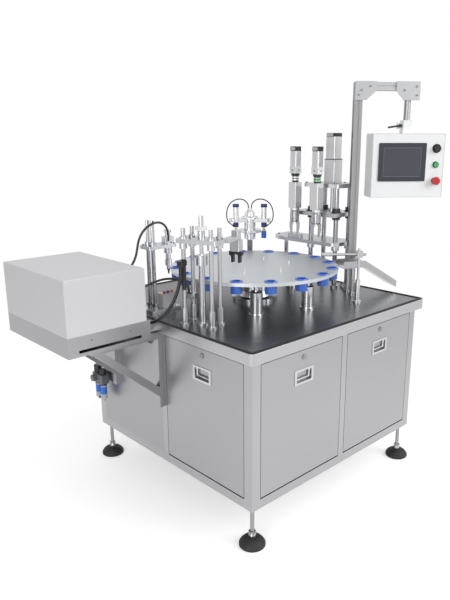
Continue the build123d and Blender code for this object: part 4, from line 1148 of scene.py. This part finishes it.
@dataclass
class CappingTower:
    """The capping tower: platform, posts, carriage, two spindle drives and the lift actuator."""

    along: float = 0.054
    across: float = 0.082
    spindle_x: float = 0.36877
    spindle_y: float = 0.07335
    platform_top: float = 1.090
    platform_leg: Pair = (0.84, 1.047)
    feet: Pair = (0.84, 0.8645)
    collars: Pair = (1.3675, 1.4)
    carriage_top: float = 1.243
    carriage_thick: float = 0.025
    bushes: tuple[Pair, Pair] = ((1.2435, 1.30), (1.1, 1.2228))
    plate_top: float = 1.388
    couplings: Pair = (1.3915, 1.4365)
    rings: tuple[Pair, Pair] = ((1.400, 1.408), (1.412, 1.420))
    gearboxes: Pair = (1.4363, 1.4703)
    gearbox_half: float = 0.0225
    gearbox_screw: float = 1.453
    caps: Pair = (1.5482, 1.6)
    cap_half: float = 0.0198
    plug_level: float = 1.5595
    gasket: Pair = (1.5048, 1.5092)
    actuator_cap: Pair = (1.6192, 1.7)
    actuator_half: float = 0.0288
    actuator_plug: float = 1.628
    post_screws: Pair = (0.076, 0.1)
    actuator_screws: Pair = (0.044, 0.044)
    carriage_screws: tuple[Pair, ...] = ((0.404, -0.150), (0.404, -0.020), (0.404, 0.020), (0.404, 0.098))
    platform_screws: tuple[Pair, ...] = ((0.424, 0.086), (0.436, 0.154), (0.47, 0.28))
    white: Colour = (0.80, 0.81, 0.82)
    green: Colour = (0.30, 0.52, 0.34)

    def posts(self) -> list[Point]:
        """The four posts' places on the ground."""
        return TOWER.corners(self.along, self.across, 0.0)

    def spindles(self, up: float = 0.0) -> list[Point]:
        """The two spindles' places at a level."""
        return [TABLE_MIDDLE.at(self.spindle_x, hand * self.spindle_y, up) for hand in (1, -1)]

    def drives(self) -> Zoned:
        """The spindle drives' finish.

        Returns:
            A pale housing, a dark coupling with bright rings, a white gearbox and a dark cap.
        """
        zones = [Zone(self.couplings, DARK)]
        for spot, ring in zip(self.spindles(), ((0.75, 0.75, 0.77), self.green)):
            zones += [Zone(levels, Look(ring, 0.3, 0.4), spot[:2], radius=0.03) for levels in self.rings]
        zones += [Zone(self.gearboxes, Look(self.white, 0.35, 0.0)), Zone(self.caps, DARK)]
        return Zoned("spindle drives", (0.66, 0.665, 0.68), 0.34, 0.9, 0.04, zones=tuple(zones))

    def build(self) -> None:
        """Dresses the tower and adds its screws, flanges and plugs."""
        leg = Zone(self.platform_leg, Look((0.4, 0.4, 0.42), 0.25))
        platform = Zoned("tower platform", (0.50, 0.51, 0.53), 0.32, zones=(leg,), along=Axis.X)
        dress(platform, "tower_platform")
        ends = (Zone(self.collars, Look((0.60, 0.60, 0.62), 0.32)), Zone(self.feet, SLEEVE))
        dress(Zoned("tower posts", (0.34, 0.34, 0.36), 0.2, zones=ends), "tower_posts")
        bush = Look((0.03, 0.03, 0.034), 0.35, 0.3)
        zones = tuple(Zone(levels, bush, spot[:2], radius=0.0215)
                      for spot in self.posts() for levels in self.bushes)
        carriage = Zoned("carriage", (0.50, 0.505, 0.52), 0.32, zones=zones, along=Axis.X)
        dress(carriage, "capping_carriage")
        dress(self.drives(), "spindle_bodies")
        bands = (Zone(self.gasket, DARK), Zone(self.actuator_cap, DARK))
        dress(Zoned("lift actuator", (0.68, 0.675, 0.685), 0.36, 0.85, 0.03, zones=bands), "lift_actuator")
        dress(CHUCK, "first_chuck", "second_chuck")
        dress(FINGER, "first_finger_a", "first_finger_b", "second_finger_a", "second_finger_b")
        self.screws()
        self.fittings()

    def screws(self) -> None:
        """Adds the screws of the plates and gearboxes."""
        spots = TOWER.corners(*self.post_screws, self.plate_top)
        spots += ACTUATOR.corners(*self.actuator_screws, self.plate_top)
        add_screws("top_plate_screws", "cabinet", spots)
        spots = [TABLE_MIDDLE.at(*place, self.carriage_top) for place in self.carriage_screws]
        add_screws("carriage_screws", "carriage", spots)
        spots = [TABLE_MIDDLE.at(*place, self.platform_top) for place in self.platform_screws]
        add_screws("platform_screws", "cabinet", spots)
        heads = [cap_screw(0.0030).facing(Vector(spot) + Vector(out) * self.gearbox_half, out)
                 for spot in self.spindles(self.gearbox_screw) for out in (TO_LEFT, TO_FRONT)]
        Shell.merged(heads).piece("gearbox_screws", DARK_STEEL, "carriage")

    def fittings(self) -> None:
        """Adds the flanges of the carriage's bearings and the plug housings on the servo caps."""
        flange = Shell.ring(inner=0.0203, outer=0.0245, high=0.005)
        levels = (self.carriage_top, self.carriage_top - self.carriage_thick)
        spots = [(x, y, up) for x, y, _ in self.posts() for up in levels]
        flange.repeated(spots).piece("bearing_flanges", BLACK, "carriage", "black_plastic")
        plug = Shell.block((0.030, 0.016, 0.009), corner=0.002).facing((-self.cap_half, 0, 0), TO_LEFT)
        plug.repeated(self.spindles(self.plug_level)).piece("spindle_plugs", SATIN, "carriage")
        place = ACTUATOR.at(-self.actuator_half, 0, self.actuator_plug)
        plug = Shell.block((0.040, 0.013, 0.010), corner=0.002).facing(place, TO_LEFT)
        plug.piece("actuator_plug", SATIN, "cabinet")


@dataclass
class Outfeed:
    """The discharge chute, and the bottle sensor on its post beside it."""

    sleeve: Pair = (0.84, 0.9615)
    clamp: Pair = (1.0705, 1.0995)

    def build(self) -> None:
        """Dresses the chute, and the post with a satin sleeve and clamp."""
        dress(CHUTE_STEEL, "discharge_chute")
        zones = (Zone(self.sleeve, Look((0.66, 0.67, 0.68), 0.34)),
                 Zone(self.clamp, CLAMP, SENSOR.spot(0, 0), radius=0.034))
        dress(Zoned("sensor post", CHROME.colour, 0.15, zones=zones), "sensor_post")


@dataclass
class OperatorPanel:
    """The operator panel on its profile stand."""

    box_middle: float = 1.479
    face: float = 0.060
    screen: Pair = (-0.031, 0.017)
    screen_size: Pair = (0.194, 0.144)
    glass_out: float = 0.003
    line_out: float = 0.0042
    line_width: float = 0.0012
    line_inset: float = 0.003
    box_size: Pair = (0.363, 0.308)
    rim_width: float = 0.0025
    control_along: float = 0.140
    start_up: float = 0.005
    stop_up: float = -0.073
    foot_screws: Point = (0.036, 0.036, 0.862)
    brackets: Pair = (1.7885, 1.9)
    bracket_face: float = -0.028
    bracket_holes: tuple[Pair, ...] = (
        (0.010, 1.835), (-0.004, 1.812), (0.052, 1.853), (0.222, 1.835), (0.282, 1.853), (0.286, 1.812))

    def frame_line(self) -> Shell:
        """Four thin bars around the glass.

        Returns:
            The bars, about the glass's middle.
        """
        width, height = self.screen_size
        thin = self.line_width
        bars = ((width - 0.004, thin, 0.0, height / 2 - self.line_inset),
                (thin, height - 0.004, width / 2 - self.line_inset, 0.0))
        pairs = []
        for long, high, x, y in bars:
            bar = Shell.block((long, high, thin / 3), corner=0.0002, edge=0.0001)
            pairs.append(bar.repeated([(x, y, 0), (-x, -y, 0)]))
        return Shell.merged(pairs)

    def build(self) -> None:
        """Dresses the stand, box and controls, and adds glass, frame line, rim and collars."""
        pale = Zone(self.brackets, Look((0.45, 0.455, 0.467), 0.44))
        dress(Zoned("profile", (0.33, 0.33, 0.342), 0.42, zones=(pale,), streaks=500.0), "panel_stand")
        dress(WHITE, "panel_box")
        dress(Grained("bezel", (0.03, 0.034, 0.048), roughness=0.3, grain=500.0), "panel_screen")
        dress(BLACK, "speed_knob", "clamp_lever")
        dress(GREEN, "start_button")
        dress(RED, "stop_button")
        width, height = self.screen_size
        pane = Shell.block((width - 0.001, height - 0.001, 0.0012), corner=0.002, edge=0.0002)
        line = Grained("frame line", (0.22, 0.24, 0.30), 0.4)
        opening = tuple(side - 2 * self.rim_width for side in self.box_size)
        rim = Shell.bezel(self.box_size, opening, high=0.0008, corner=0.004)
        collar = Shell.ring(inner=0.0125, outer=0.0155, high=0.0055)
        guard = Shell.ring(inner=0.0118, outer=0.017, high=0.012, edge=0.001)
        on_face = (("screen_glass", pane, (*self.screen, self.glass_out), GLASS_DARK),
                   ("screen_frame_line", self.frame_line(), (*self.screen, self.line_out), line),
                   ("box_rim", rim, (0, 0, -SUNK), BEZEL),
                   ("start_collar", collar, (self.control_along, self.start_up, 0), BLACK),
                   ("stop_collar", guard, (self.control_along, self.stop_up, 0), BLACK))
        for name, shell, (along, up, out), finish in on_face:
            place = HANGER.at(along, -self.face - out, self.box_middle + up)
            slot = "bright_metal" if finish is BEZEL else "black_plastic"
            shell.facing(place, HANGER.way(0, -1)).piece(name, finish, "panel", slot)
        spots = [POLE.at(along, self.bracket_face, up) for along, up in self.bracket_holes]
        add_screws("bracket_screws", "cabinet", spots, 0.0048, HANGER.way(0, -1), ZINC)
        add_screws("pole_foot_screws", "cabinet", POLE.corners(*self.foot_screws), 0.0048)


@dataclass
class Feeder:
    """The covered cap feeder on its side shelf."""

    shelf_screws: Pair = (-0.93, -0.76)
    shelf_front: float = -0.060
    screw_level: float = 0.860

    def build(self) -> None:
        """Dresses cover and shelf, and adds the shelf's screws."""
        cover = Grained("cover paint", (0.60, 0.60, 0.615), roughness=0.45, spread=0.015, grain=420.0)
        dress(cover, "feeder_cover")
        dress(TRAY_STEEL, "feeder_shelf")
        spots = [TABLE_MIDDLE.at(x, self.shelf_front, self.screw_level) for x in self.shelf_screws]
        add_screws("shelf_screws", "cabinet", spots, out=TO_FRONT, finish=ZINC)


@dataclass
class AirUnit:
    """The air preparation unit on the cabinet's side."""

    collar: Pair = (0.43, 0.4398)
    bowls: Pair = (0.30, 0.43)
    bands: Pair = (0.385, 0.424)
    drain: Pair = (0.352, 0.362)
    caps: Pair = (0.4862, 0.6)

    def build(self) -> None:
        """Dresses the unit: a dark block with black caps, over pale bowls with blue bands."""
        zones = (Zone(self.collar, DARK), Zone(self.bowls, Look((0.42, 0.45, 0.48), 0.12, 0.0)),
                 Zone(self.bands, Look((0.02, 0.16, 0.62), 0.2, 0.0)),
                 Zone(self.drain, DARK, AIR_UNIT.spot(0, 0), radius=0.017), Zone(self.caps, DARK))
        dress(Zoned("air unit", (0.13, 0.135, 0.145), 0.4, 0.3, zones=zones), "air_unit")
        dress(BLACK, "regulator_knob")


def main() -> None:
    """Builds the whole scene."""
    logging.basicConfig(level=logging.INFO, format="%(name)s %(message)s")
    bpy.context.scene.view_settings.view_transform = "Standard"
    Camera().build()
    Hoses().build()
    Studio().build()
    for assembly in (Cabinet(), Dial(), Placer(), Picker(), Transfer(), CappingTower(), Outfeed(),
                     OperatorPanel(), Feeder(), AirUnit()):
        assembly.build()
        LOG.info("%s done", type(assembly).__name__)


if __name__ == "__main__":
    main()
